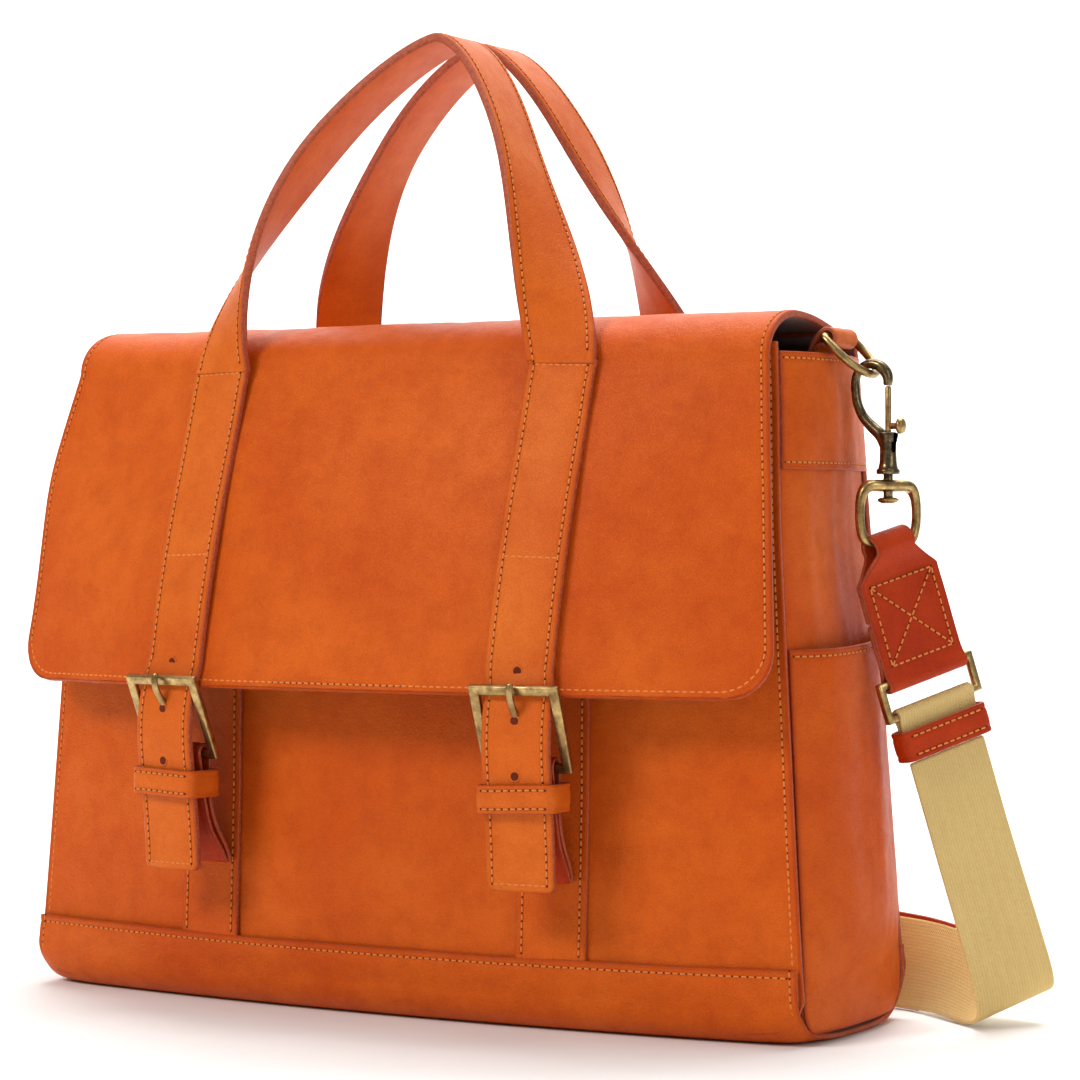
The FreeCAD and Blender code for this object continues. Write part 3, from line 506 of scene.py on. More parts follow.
def ribbon(name, line, faces_to, width, thickness, body, nodes=(), seam=SEAM, crown=0.45,
           corner_radius=0.8, materials=(STRAP_SKIN, CUT), closed=False, spacing=2.2, rounded=(True, True)):
    """A strap along a line; faces_to says which way its face looks at each point of the line. width
    is a number or a function of the place; rounded says which ends are rounded off."""
    total = lengths_of(line)[-1]
    if closed:
        places = np.linspace(0, total, max(int(total / spacing), 12), endpoint=False)
    else:
        ends = sorted({0, 0.25, 0.8, 1.6} | {corner_radius * f for f in (0.05, 0.2, 0.45, 0.75, 1.0)})
        inner = np.arange(ends[-1] + spacing, total - ends[-1] - spacing * 0.5, spacing)
        places = np.array(ends + list(inner) + [total - e for e in reversed(ends)])
    centre = sampled(line, places)
    looks = sampled([Vector(f) for f in faces_to], lengths_to(line, faces_to, places))
    if closed:
        along = unit(np.roll(centre, -1, axis=0) - np.roll(centre, 1, axis=0))
    else:
        along = unit(np.gradient(centre, axis=0))
    across = unit(np.cross(along, looks))
    out = np.cross(across, along)
    rings, shade, flat = [], [], []
    for k, place in enumerate(places):
        half = (width(centre[k]) if callable(width) else width) / 2
        thin = 1.0
        if not closed:
            left = min(place if rounded[0] else total, total - place if rounded[1] else total)
            if left < corner_radius:
                half -= round_off(corner_radius, left)
            thin = min(1.0, 0.45 + 0.55 * math.sin(min(left / 0.9, 1) * math.pi / 2))
        section, kinds = strap_section(half, thickness, seam, crown)
        for c, n in section:
            rings.append(centre[k] + across[k] * c + out[k] * n * thin)
            shade.append(math.exp(-(half - abs(c)) / 1.3))
            flat.append((c, place))
    size, count = len(section), len(places)
    faces = wall(count, size, closed)
    face_kinds = kinds * (len(faces) // size)
    if not closed:
        faces += caps(count, size)
        face_kinds += [1, 1]
    return make_piece(name, np.array(rings), faces, body, nodes, materials, face_kinds, shade, flat)


def lengths_to(line, faces_to, places):
    """The same share along the list of facings as the places are along the line."""
    share = np.interp(places, lengths_of(line), np.linspace(0, 1, len(line)))
    done = lengths_of([Vector(f) for f in faces_to])
    if len(faces_to) != len(line):
        return share * done[-1]
    return np.interp(share, np.linspace(0, 1, len(line)), done)


def tube(name, line, radii, body, nodes=(), material=BRASS, closed=False, flat_way=None, sides=18,
         square=2.0):
    """A bar along a line. radii gives (in the flat_way, across it) for each point; square above 2
    makes its section squarer."""
    centre = np.array([tuple(p) for p in line])
    if closed:
        along = unit(np.roll(centre, -1, axis=0) - np.roll(centre, 1, axis=0))
    else:
        along = unit(np.gradient(centre, axis=0))
    way = np.array(flat_way, dtype=float)
    first = unit(way - along * (along @ way)[:, None])
    second = np.cross(along, first)
    points = []
    for k in range(len(line)):
        a, b = radii[k] if isinstance(radii, list) else radii
        for j in range(sides):
            turn = 2 * math.pi * (j + 0.5) / sides
            cos, sin = math.cos(turn), math.sin(turn)
            reach = (abs(cos) ** square + abs(sin) ** square) ** (-1 / square)
            points.append(centre[k] + (first[k] * a * cos + second[k] * b * sin) * reach)
    faces = wall(len(line), sides, closed) + ([] if closed else caps(len(line), sides))
    return make_piece(name, np.array(points), faces, body, nodes, (material,))


def lathe(name, profile, base, axis, body, nodes=(), material=BRASS, sides=28):
    """A turned piece: profile holds (radius, distance along the axis) from its foot to its head."""
    axis = Vector(axis).normalized()
    first = axis.orthogonal().normalized()
    second = axis.cross(first)
    points = []
    for radius, distance in profile:
        for j in range(sides):
            turn = 2 * math.pi * j / sides
            way = first * math.cos(turn) + second * math.sin(turn)
            points.append(Vector(base) + axis * distance + way * radius)
    faces = caps(len(profile), sides) + wall(len(profile), sides)
    piece = make_piece(name, np.array([tuple(p) for p in points]), faces, body, nodes, (material,))
    crisp(piece, 0.25)
    return piece


def crisp(piece, width, segments=2):
    """Softens the piece's sharp edges."""
    bevel = piece.modifiers.new("soft_edges", "BEVEL")
    bevel.width = width * MM
    bevel.segments = segments
    bevel.limit_method = "ANGLE"
    bevel.angle_limit = math.radians(35)


def flipped(points, side):
    return [Vector((p[0] * side, p[1], p[2])) for p in points]


def on_side(side, line, facing):
    """A strap's line and facings on a side: the left is the mirror of the right."""
    return flipped(line, side), flipped(facing, side)


def arc(start, end, count):
    """Turns in radians, from start to end in degrees."""
    return np.radians(np.linspace(start, end, count))


# ---------------------------------------------------------------- stitching

seams = {}


def stitch(line, outs, body, pitch=PITCH, lift=0.0, side=1):
    """Thread stitches and the painted shade of needle holes along a line on a surface whose outward ways
    are outs.
    """
    line, outs = on_side(side, line, outs)
    total = lengths_of(line)[-1]
    count = max(int(round(total / pitch)), 1)
    places = np.linspace(0, total, count + 1)
    knots = sampled(line, places)
    out = unit(sampled(outs, lengths_to(line, outs, places)))
    seams.setdefault(body, []).append((knots + out * lift, out))


def stitch_parts(knots, outs, length_share=0.74):
    """For each stitch its middle, half length, way, across and out; the same for each hole."""
    middle = (knots[1:] + knots[:-1]) / 2
    way = knots[1:] - knots[:-1]
    half = np.linalg.norm(way, axis=1) / 2 * length_share
    way = unit(way)
    out = unit(outs[1:] + outs[:-1])
    across = unit(np.cross(way, out))
    return middle, half, way, across, np.cross(across, way)


RING = [(math.cos(a), math.sin(a)) for a in np.linspace(0, 2 * math.pi, 6, endpoint=False)]
STITCH_WIDTH, STITCH_HEIGHT, STITCH_ARCH, HOLE_RADIUS = 0.44, 0.34, 0.16, 0.46


def make_threads(body, rows):
    """One arched, tapering bead of thread for every stitch."""
    spans = [(-1, 0.35), (-0.82, 0.8), (-0.3, 1.0), (0.3, 1.0), (0.82, 0.8), (1, 0.35)]
    template = np.array([(u, c * r, n * r) for u, r in spans for c, n in RING])
    quads = wall(len(spans), 6) + caps(len(spans), 6)
    arch = STITCH_ARCH * (1 - template[:, 0] ** 2)
    points, faces = [], []
    for knots, outs in rows:
        middle, half, way, across, out = stitch_parts(knots, outs)
        for k in range(len(middle)):
            base = len(points) * len(template)
            spots = (middle[k] + way[k] * (template[:, :1] * half[k])
                     + across[k] * (template[:, 1:2] * STITCH_WIDTH)
                     + out[k] * (template[:, 2:] * STITCH_HEIGHT + arch[:, None] - 0.02))
            points.append(spots)
            faces += [tuple(base + q for q in quad) for quad in quads]
    make_piece(body + "_stitching", np.vstack(points), faces, body, (), (THREAD,))


def make_hole_shade_plugs(body, rows):
    """A small dark plug at both ends of every stitch: painted shade that stands in for the needle hole's
    depth.
    """
    points, faces = [], []
    for knots, outs in rows:
        for knot, up in zip(knots, outs):
            first = unit(np.cross(up, (0.3, 0.5, 0.81)))
            second = np.cross(up, first)
            base = len(points)
            points.append(knot + up * 0.12)
            for height in (0.02, -0.5):
                points += [knot + (first * c + second * s) * HOLE_RADIUS + up * height for c, s in RING]
            for j in range(6):
                n = (j + 1) % 6
                faces.append((base, base + 1 + j, base + 1 + n))
                faces.append((base + 1 + j, base + 7 + j, base + 7 + n, base + 1 + n))
            faces.append(tuple(base + 7 + j for j in range(6)))
    make_piece(body + "_hole_shade_plugs", np.array(points), faces, body, (), (HOLE_SHADE,))


def surface_line(surface, places, outward, nudge=0.5):
    """Points and outward ways of a surface function at places (a, b)."""
    points, outs = [], []
    for a, b in places:
        point = surface(a, b)
        first = surface(a + nudge, b) - surface(a - nudge, b)
        second = surface(a, b + nudge) - surface(a, b - nudge)
        out = first.cross(second).normalized()
        if out.dot(Vector(outward)) < 0:
            out = -out
        points.append(point)
        outs.append(out)
    return points, outs


def straight(start, end, count=24):
    return [(start[0] + (end[0] - start[0]) * k / count, start[1] + (end[1] - start[1]) * k / count)
            for k in range(count + 1)]


# ---------------------------------------------------------------- the bag's surfaces

def ripple(a, b, seed, size=60, depth=0.7):
    """The slow unevenness of soft leather."""
    return depth * noise.noise(Vector((a / size, b / size, seed))) + \
        depth * 0.3 * noise.noise(Vector((a / size * 3.1, b / size * 3.1, seed + 9)))


def half_width(z):
    return (BASE_WIDTH + (TOP_WIDTH - BASE_WIDTH) * z / BODY_HEIGHT) / 2


def half_depth(z):
    return (BASE_DEPTH + (TOP_DEPTH - BASE_DEPTH) * z / BODY_HEIGHT) / 2


def eased(value):
    part = min(max(value, 0), 1)
    return part * part * (3 - 2 * part)


def top_share(z):
    return eased((z - RECESS_LOW) / (BODY_HEIGHT - RECESS_LOW))


def front_depth(z):
    return half_depth(z) - TOP_RECESS * top_share(z)


def crown_at(z):
    rise = min(z / BASE_HEIGHT, 1.0)
    low = BASE_CROWN + (FRONT_CROWN - BASE_CROWN) * math.sin(rise * math.pi / 2)
    return low - (FRONT_CROWN - TOP_CROWN) * top_share(z)


def front_y(x, z):
    return -front_depth(z) - crown_at(z) * (1 - (x / half_width(z)) ** 2)


def front_point(x, z):
    inner = 1 - (x / half_width(z)) ** 2
    return Vector((x, front_y(x, z) + ripple(x, z, 1) * min(1, inner * 3), z))


def back_point(x, z):
    inner = 1 - (x / half_width(z)) ** 2
    crown = BACK_CROWN * inner * math.sin(math.pi * min(z / BODY_HEIGHT, 1))
    return Vector((x, half_depth(z) + max(crown, 0) + ripple(x, z, 4) * inner, z))


def gusset_ends(z, inset=3.2):
    """The gusset's front and back edges at a height, round its lower corners too."""
    front, back = -front_depth(z) + inset, half_depth(z) - inset
    front_round, back_round = FRONT_RADIUS - inset, BACK_RADIUS - inset
    up = z - inset
    if up < front_round:
        front += round_off(front_round, up)
    if up < back_round:
        back -= round_off(back_round, up)
    return front, back


def gusset_point(y, z):
    front, back = gusset_ends(max(z, 3.4))
    middle, half = (front + back) / 2, (back - front) / 2
    inner = max(1 - abs((y - middle) / half) ** 2.4, 0)
    rise = eased((z - 3) / 45)
    pleat = 1.5 * noise.noise(Vector((y / 16, z / 95, 3.7)))
    pleat += 0.5 * noise.noise(Vector((y / 7, z / 40, 8.1)))
    pinch = 2.6 * math.exp(-((z - 205) / 34) ** 2)
    bulge = (GUSSET_BULGE + 1.4 - pinch + pleat) * inner * (0.25 + 0.75 * rise)
    return Vector((half_width(z) - 1.4 + bulge, y, z))


def pocket_point(y, z):
    front, back = gusset_ends(max(z, 3.4))
    middle, half = (front + back) / 2, (back - front) / 2
    inner = max(1 - abs((y - middle) / half) ** 2.6, 0)
    away = 1.6 + 5.6 * inner * (0.35 + 0.65 * eased((z - 5) / 60)) + 1.6 * inner * eased((z - 120) / 40)
    plump = 0.9 * noise.noise(Vector((y / 26, z / 45, 5.5))) * inner
    return gusset_point(y, z) + Vector((away + plump, 0, 0))


def mouth_point(y, z):
    """The pocket again, its mouth rising towards the back."""
    front, back = gusset_ends(POCKET_TOP)
    return pocket_point(y, z * (1 + POCKET_RISE / POCKET_TOP * (y - front) / (back - front)))


def flap_half_width(z):
    part = (min(z, SHOULDER) - FLAP_LOW) / (SHOULDER - FLAP_LOW)
    return (FLAP_LOW_WIDTH * (1 - part) + FLAP_TOP_WIDTH * part) / 2


def flap_front_y(x, z):
    part = (z - FLAP_LOW) / (SHOULDER - FLAP_LOW)
    edge = FLAP_LOW_DEPTH * (1 - part) + FLAP_TOP_DEPTH * part
    crown = FLAP_LOW_CROWN + (FLAP_TOP_CROWN - FLAP_LOW_CROWN) * max(part, 0) ** 2.2
    return -edge - crown * (1 - (x / flap_half_width(z)) ** 2)


def left_swell(x, z):
    """How far the flap's left side stands out beyond its straight line."""
    return 7 * eased(-x / 110 - 0.7) * math.exp(-((z - 236) / 46) ** 2)


def flap_point(x, t):
    """The flap's outer face: t runs 0 to 1 from the hinge to the peak, 1 to 2 over the shoulder and
    2 to 3 down the front."""
    front = flap_front_y(x, SHOULDER)
    wave = ripple(x, 0, 21, 48, 1.3)
    if t <= 1:
        y = HINGE_Y + (PEAK_Y - HINGE_Y) * t
        z = HINGE_Z + (FLAP_TOP - HINGE_Z) * math.sin(t * math.pi / 2) + wave * t
        return Vector((x, y, z))
    if t <= 2:
        turn = (2 - t) * math.pi / 2
        y = PEAK_Y + (front - PEAK_Y) * math.cos(turn)
        x -= left_swell(x, SHOULDER) * math.cos(turn)
        return Vector((x, y, SHOULDER + (FLAP_TOP - SHOULDER) * math.sin(turn) + wave * math.sin(turn)))
    z = SHOULDER - (SHOULDER - FLAP_BOTTOM) * (t - 2)
    swell = left_swell(x, z)
    wave = ripple(x, z, 2, 75, 0.9) * eased((t - 2) * 3)
    return Vector((x - swell, flap_front_y(x, z) - wave, z))


def flap_t(z):
    return 2 + (SHOULDER - z) / (SHOULDER - FLAP_BOTTOM)


# ---------------------------------------------------------------- the bag's skins

def make_front():
    rows = []
    for z in steps(4, BODY_HEIGHT, 74):
        edge = half_width(z)
        low = 1 - z / BODY_HEIGHT
        rows.append([front_point(x, z + corner_lift(x) * low) for x in steps(-edge, edge, 104)])
    sheet("front_skin", rows, (0, -1, 0), "bag", ["front_panel"], seams=(0, SEAM, SEAM, SEAM))
    for side in (-1, 1):
        places = [(side * (half_width(z) - SEAM), z) for z in np.linspace(33, 284, 90)]
        stitch(*surface_line(front_point, places, (0, -1, 0)), "bag", lift=-0.2)
    edge = half_width(BODY_HEIGHT) - SEAM
    places = straight((-edge, BODY_HEIGHT - SEAM), (edge, BODY_HEIGHT - SEAM), 90)
    stitch(*surface_line(front_point, places, (0, -1, 0)), "bag", lift=-0.2)


def make_back():
    high = BODY_HEIGHT + 1.5
    rows = []
    for z in steps(4, high, 64):
        edge = half_width(z)
        low = 1 - z / high
        rows.append([back_point(x, z + corner_lift(x) * low) for x in steps(-edge, edge, 90)])
    sheet("back_skin", rows, (0, 1, 0), "bag", ["back_panel"], seams=(0, SEAM, SEAM, SEAM))
    for side in (-1, 1):
        places = [(side * (half_width(z) - SEAM), z) for z in np.linspace(33, high - 4, 80)]
        stitch(*surface_line(back_point, places, (0, 1, 0)), "bag", lift=-0.2)
    edge = half_width(high) - SEAM
    stitch(*surface_line(back_point, straight((-edge, high - SEAM), (edge, high - SEAM), 80), (0, 1, 0)),
           "bag", lift=-0.2)


def corner_lift(x):
    """How far the base's lower edge rises towards its rounded ends."""
    near = max(0, 34 - (half_width(0) - abs(x))) / 34
    return 3 * near ** 2 + 13 * near ** 9


def base_profile(x):
    """Points of the base's outer face at x, from the front band's top round to the back band's."""
    share = min(abs(x) / half_width(0), 1)
    top = BASE_HEIGHT - BASE_SAG * (1 - share ** 2)
    points = []
    for down in (0, 1.4, 2.3, 3, 3.7, 5, 7, 9.5, 12):
        points.append((front_y(x, top - down) - BAND_LIFT, top - down))
    start = front_y(x, FRONT_RADIUS) - BAND_LIFT
    for turn in arc(0, 90, 12):
        points.append((start + FRONT_RADIUS * (1 - math.cos(turn)), FRONT_RADIUS * (1 - math.sin(turn))))
    end = half_depth(0) + BAND_LIFT
    for y in np.linspace(start + FRONT_RADIUS + 5, end - BACK_RADIUS - 3, 14):
        points.append((y, 0))
    for turn in arc(0, 90, 12):
        y = end - BACK_RADIUS + BACK_RADIUS * math.sin(turn)
        points.append((y, BACK_RADIUS * (1 - math.cos(turn))))
    for z in (27, 28.3, 29, 29.7, 30.6, 32):
        points.append((half_depth(z) + BAND_LIFT, z))
    middle, half = (start + end) / 2, (end - start) / 2
    raised = []
    for y, z in points:
        outer = min(abs(y - middle) / half, 1) ** 3
        lift = corner_lift(x) * outer * max(0, 1 - z / 26)
        raised.append((y, z + lift + ripple(x, y, 6, 40, 0.35) * min(z / 20, 1)))
    return raised


def base_point(x, z):
    return Vector((x, front_y(x, z) - BAND_LIFT, z))


def make_base():
    edge = half_width(BASE_HEIGHT)
    columns = []
    for x in steps(-edge, edge, 96):
        column = []
        for y, z in base_profile(x):
            wide = x * half_width(z) / edge if z < BASE_HEIGHT else x
            column.append(Vector((wide, y, max(z, 0.02))))
        columns.append(column)
    sheet("base_skin", columns, (0, 0, -1), "bag", ["base_wrap"], seams=(SEAM, SEAM, SEAM, SEAM),
          thickness=2.6)
    low = BASE_HEIGHT - SEAM
    places = [(x, low - BASE_SAG * (1 - (x / half_width(0)) ** 2))
              for x in np.linspace(4 - edge, edge - 4, 100)]
    stitch(*surface_line(base_point, places, (0, -1, 0)), "bag", lift=-0.2)
    for side in (-1, 1):
        profile = [Vector((side * (half_width(z) - SEAM), y, z))
                   for y, z in base_profile(side * (edge - 2))]
        outs = []
        for k in range(len(profile)):
            before, after = profile[max(k - 1, 0)], profile[min(k + 1, len(profile) - 1)]
            outs.append(Vector((0, -(before - after).z, (before - after).y)).normalized())
        stitch(profile[:20], outs[:20], "bag", lift=-0.15)
    back = [(x, half_depth(low) + BAND_LIFT, low) for x in np.linspace(4 - edge, edge - 4, 60)]
    stitch([Vector(p) for p in back], [Vector((0, 1, 0))] * len(back), "bag", lift=-0.15)


def gusset_rows(surface, low, high, middle, inset=3.2, sag=0.0):
    rows = []
    for z in steps(low, high, middle):
        front, back = gusset_ends(z, inset)
        row = []
        for y in steps(front, back, 30, (0, 1.4, 2.4, 3.4, 5)):
            centre = 1 - ((y - (front + back) / 2) / ((back - front) / 2)) ** 2
            row.append(surface(y, z - sag * centre * eased((z - low) / (high - low) * 3 - 2)))
        rows.append(row)
    return rows


def band_point(y, z):
    return gusset_point(y, z) + Vector((2.5, 0, 0))


def make_gussets():
    pieces = {"gusset": (gusset_rows(gusset_point, 3.6, BODY_HEIGHT - 4, 80), (0, 0, 0, 0)),
              "gusset_band": (gusset_rows(band_point, BAND_LOW, BAND_HIGH, 14, 2.2), (2.8, 2.8, 0, 0)),
              "side_pocket": (gusset_rows(mouth_point, 5, POCKET_TOP, 46, 3.2, POCKET_SAG), (0, 2.8, 0, 0))}
    for name, side in SIDES.items():
        for kind, (rows, grooves) in pieces.items():
            sheet(f"{kind}_skin_{name}", [flipped(row, side) for row in rows], (side, 0, 0), "bag",
                  [f"{kind}_{name}"], thickness=2.2, seams=grooves)
        for surface, z, inset, sag in ((band_point, BAND_LOW + 2.8, 2.2, 0),
                                       (band_point, BAND_HIGH - 2.8, 2.2, 0),
                                       (mouth_point, POCKET_TOP - 2.8, 3.2, POCKET_SAG)):
            front, back = gusset_ends(z, inset)
            places = []
            for y in np.linspace(front + 1.5, back - 1.5, 40):
                centre = 1 - ((y - (front + back) / 2) / ((back - front) / 2)) ** 2
                places.append((y, z - sag * centre))
            stitch(*surface_line(surface, places, (1, 0, 0)), "bag", lift=-0.2, side=side)


# ---------------------------------------------------------------- flap

def flap_width_at(t):
    """Half the flap's width, narrowed round its lower corners."""
    z = flap_point(0, max(t, 2)).z
    half = flap_half_width(z)
    up = z - FLAP_BOTTOM
    if t > 2 and up < FLAP_CORNER:
        half -= round_off(FLAP_CORNER, up)
    return half


def make_flap():
    fine = (0, 0.7, 1.6, 2.4, 3.1, 3.8, 5, 7, 9.5, 12.5, 16)
    front = [flap_t(z) for z in steps(FLAP_BOTTOM, SHOULDER, 36, fine)]
    front = [t for t in reversed(front) if t > 2.01][3:]
    levels = list(np.linspace(0, 1, 18)) + list(np.linspace(1, 2, 16))[1:] + front
    rows = []
    for t in levels:
        half = flap_width_at(t)
        rows.append([flap_point(x, t) for x in steps(-half, half, 100)])
    sheet("flap_skin", rows, (0, -0.7, 0.7), "flap", ["flap_panel"], thickness=3.2,
          seams=(0, SEAM, SEAM, SEAM))
    make_flap_seam()


def make_flap_seam():
    radius = FLAP_CORNER - SEAM
    side = [(flap_half_width(flap_point(0, t).z) - SEAM, t) for t in np.linspace(0.5, 2, 30)]
    side += [(flap_half_width(z) - SEAM, flap_t(z))
             for z in np.linspace(SHOULDER, FLAP_BOTTOM + FLAP_CORNER, 40)]
    centre = flap_half_width(FLAP_BOTTOM + FLAP_CORNER) - FLAP_CORNER
    corner_run = []
    for turn in np.radians(np.linspace(0, 90, 14)[1:]):
        z = FLAP_BOTTOM + FLAP_CORNER - radius * math.sin(turn)
        corner_run.append((centre + radius * math.cos(turn), flap_t(z)))
    low = [(x, flap_t(FLAP_BOTTOM + SEAM)) for x in np.linspace(centre, 0, 40)[1:]]
    right = side + corner_run + low
    left = [(-x, t) for x, t in reversed(right[:-1])]
    points, outs = [], []
    for x, t in right + left:
        point = flap_point(x, t)
        first = flap_point(x + 0.5, t) - flap_point(x - 0.5, t)
        second = flap_point(x, t + 0.01) - flap_point(x, t - 0.01)
        out = first.cross(second).normalized()
        outs.append(-out if out.y - out.z > 0 else out)
        points.append(point)
    stitch(points, outs, "flap", lift=-0.2)


def make_flap_root():
    """The leather under the flap's back edge, sewn inside the back panel and curving over at the hinge."""
    profile = [(35.2, 262), (35.2, 270), (35.0, 278), (34.6, 285), (33.4, 289.5), (30.5, 292.2),
               (26, 293.6), (21, 294.6), (16, 295.4)]
    half = FLAP_TOP_WIDTH / 2 - 4
    rows = []
    for place in curve_through([(0, y, z) for y, z in profile], 3):
        rows.append([Vector((x, place.y, place.z)) for x in steps(-half, half, 40)])
    piece = sheet("flap_root", rows, (0, 0, 1), None, (), thickness=1.6)
    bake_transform(piece)


# ---------------------------------------------------------------- straps and closures

def closure(across, y, z):
    """A point of the right closure's own frame, in the bag's frame."""
    cos, sin = math.cos(STRAP_TURN), math.sin(STRAP_TURN)
    return Vector((STRAP_X + across * cos - y * sin, CLOSURE_Y + across * sin + y * cos, z))


FACING = Vector((math.sin(STRAP_TURN), -math.cos(STRAP_TURN), 0))


def on_flap(z, lift):
    """A point above the flap's face under the right strap."""
    point = flap_point(STRAP_X, flap_t(z))
    return point + FACING * lift


def edge_stitches(line, facing, half, lift, body, side=1, ends=()):
    """Rows of stitches along both edges of a strap, and across it at the given places."""
    total = lengths_of(line)[-1]
    places = np.linspace(SEAM, total - SEAM, max(int(total / 4), 4))
    centre = sampled(line, places)
    along = unit(np.gradient(centre, axis=0))
    looks = unit(sampled([Vector(f) for f in facing], lengths_to(line, facing, places)))
    across = unit(np.cross(along, looks))
    out = np.cross(across, along)
    for way in (-1, 1):
        row = centre + across * way * (half - SEAM) + out * lift
        stitch([Vector(p) for p in row], [Vector(o) for o in out], body, side=side)
    offsets = np.linspace(SEAM - half, half - SEAM, 9)
    for place in ends:
        k = int(np.argmin(abs(places - place)))
        row = [Vector(centre[k] + across[k] * c + out[k] * lift) for c in offsets]
        stitch(row, [Vector(out[k])] * 9, body, side=side)


def punched_hole(name, place, out, body, side, radius=2.0):
    """A punched strap hole: a pressed lip round a dark plug, painted shade that stands in for the hole's
    depth.
    """
    place, out = flipped([place, out], side)
    profile = [(radius + 0.55, -0.3), (radius + 0.5, 0.06), (radius + 0.15, 0.16), (radius, 0.05)]
    lathe(name + "_lip", profile, place, out, body, (), STRAP_SKIN, 20)
    # painted shade: a dark capped plug fills the hole where only shadow would show
    lathe(name + "_shade_plug", [(radius, -0.3), (radius * 0.96, 0.09)], place, out, body, (), HOLE_SHADE, 20)


def closure_line():
    """The middle line of the right strap: down the flap, under the buckle's toe bar and out free."""
    heights = np.linspace(282.9, 153, 40)
    line = [on_flap(z, STRAP / 2 + 0.25 + 1.1 * eased((z - 255) / 28)) for z in heights]
    hang = [(-13.7, 146), (-15.7, 138), (-17.1, 130), (-17.4, 120), (-16.5, 110), (-15.3, 100),
            (-13.7, 88), (-12.5, 74), (-11.9, TIP_LOW)]
    return curve_through(line + [closure(0, y, z) for y, z in hang], 3)


def make_straps():
    line = closure_line()
    facing = [FACING] * len(line)
    done = lengths_of(line)
    crossings = [SEAM + 0.6, done[min(range(len(line)), key=lambda k: abs(line[k].z - 198))], done[-1]]
    for name, side in SIDES.items():
        ribbon(f"closure_strap_{name}", *on_side(side, line, facing), STRAP_WIDTH, STRAP, "flap",
               [f"handle_anchor_{name}", f"flap_strap_{name}", f"strap_tip_{name}"], corner_radius=3.0,
               rounded=(False, True))
        edge_stitches(line, facing, STRAP_WIDTH / 2, STRAP / 2 + 0.12, "flap", side, crossings)
        for number, z in enumerate((153.5, 132.5, 109.5)):
            place = min(line, key=lambda p: abs(p.z - z)) + FACING * (STRAP / 2 + 0.36)
            punched_hole(f"strap_hole_{number}_{name}", place, FACING, "flap", side)


def make_strips():
    heights = np.linspace(BASE_HEIGHT - 2, STRIP_HIGH, 24)
    line = [front_point(STRAP_X, z) + FACING * 1.3 for z in heights]
    facing = [FACING] * len(line)
    for name, side in SIDES.items():
        ribbon(f"front_strip_skin_{name}", *on_side(side, line, facing), STRIP_WIDTH, 2.4, "bag",
               [f"front_strip_{name}"], materials=(SKIN, CUT), crown=0.3)
        edge_stitches(line, facing, STRIP_WIDTH / 2, 1.3, "bag", side)


def make_chapes():
    """The tab folded round the buckle's heel bar: two plies sewn to the strip."""
    heel_y, heel_z = HEEL
    profile = [(11.6, 64), (8.6, 71), (1.6, 82), (-1.8, 93), (-2.2, 104)]
    looks = [(1, 0)] * 5
    for turn in arc(-10, 190, 9):
        profile.append((heel_y + 3.7 * math.cos(turn), heel_z + 3.7 * math.sin(turn)))
        looks.append((math.cos(turn), math.sin(turn)))
    profile += [(-7.4, 104), (-5.6, 93), (-1.6, 80), (5.4, 70), (8.8, 64)]
    looks += [(-1, 0)] * 5
    line = curve_through([closure(0, y, z) for y, z in profile], 4)
    facing = curve_through([closure(0, a, b) - closure(0, 0, 0) for a, b in looks], 4)
    for name, side in SIDES.items():
        ribbon(f"buckle_chape_skin_{name}", *on_side(side, line, facing), 26.5, 1.8, "bag",
               [f"buckle_chape_{name}"], crown=0.1, seam=TRIM_SEAM, materials=(SMALL_SKIN, CUT),
               spacing=1.4)


def rounded_loop(half_a, low_b, high_b, radius, count=6):
    """A rounded rectangle's points and outward ways, from the middle of its low_b side."""
    centres = [(half_a - radius, low_b + radius, -90), (half_a - radius, high_b - radius, 0),
               (radius - half_a, high_b - radius, 90), (radius - half_a, low_b + radius, 180)]
    points, ways = [(0, low_b)], [(0, -1)]
    for ca, cb, first in centres:
        for turn in arc(first, first + 90, count):
            points.append((ca + radius * math.cos(turn), cb + radius * math.sin(turn)))
            ways.append((math.cos(turn), math.sin(turn)))
    return points + [points[0]], ways + [ways[0]]


def make_keepers():
    front, back, half = -19.6, -0.6, 16.9
    points, ways = rounded_loop(half, front, back, 3.0)
    for name, side in SIDES.items():
        line = [closure(a, b, KEEPER_HEIGHT + 0.5 * math.sin(a / 9)) for a, b in points]
        facing = [closure(a, b, 0) - closure(0, 0, 0) for a, b in ways]
        ribbon(f"strap_keeper_skin_{name}", *on_side(side, line, facing), 12, 1.9, "bag",
               [f"strap_keeper_{name}"], seam=2.2, crown=0.2, closed=True, spacing=1.2)
        for height in (-3.8, 3.8):
            row = [closure(a, front, KEEPER_HEIGHT + height + 0.5 * math.sin(a / 9)) + FACING * 1.08
                   for a in np.linspace(-14.5, 14.5, 12)]
            stitch(row, [FACING] * 12, "bag", side=side)


def bar_loop(name, corners, out, in_plane, deep, body, nodes, chamfer=0.6, material=BRASS):
    """A flat-barred closed frame with mitred corners. in_plane gives each corner's half bar width."""
    corners = [Vector(c) for c in corners]
    out = Vector(out).normalized()
    count = len(corners)
    section = [(1, 1), (1, -1), (-1, -1), (-1, 1)]
    points = []
    for k, here in enumerate(corners):
        before = (here - corners[k - 1]).normalized()
        after = (corners[(k + 1) % count] - here).normalized()
        normal_a, normal_b = before.cross(out), after.cross(out)
        mitre = (normal_a + normal_b) / (1 + normal_a.dot(normal_b))
        for a, b in section:
            points.append(here + mitre * (a * in_plane) + out * (b * deep))
    faces = wall(count, 4, True)
    piece = make_piece(name, np.array([tuple(p) for p in points]), faces, body, nodes, (material,))
    crisp(piece, chamfer, 3)
    return piece


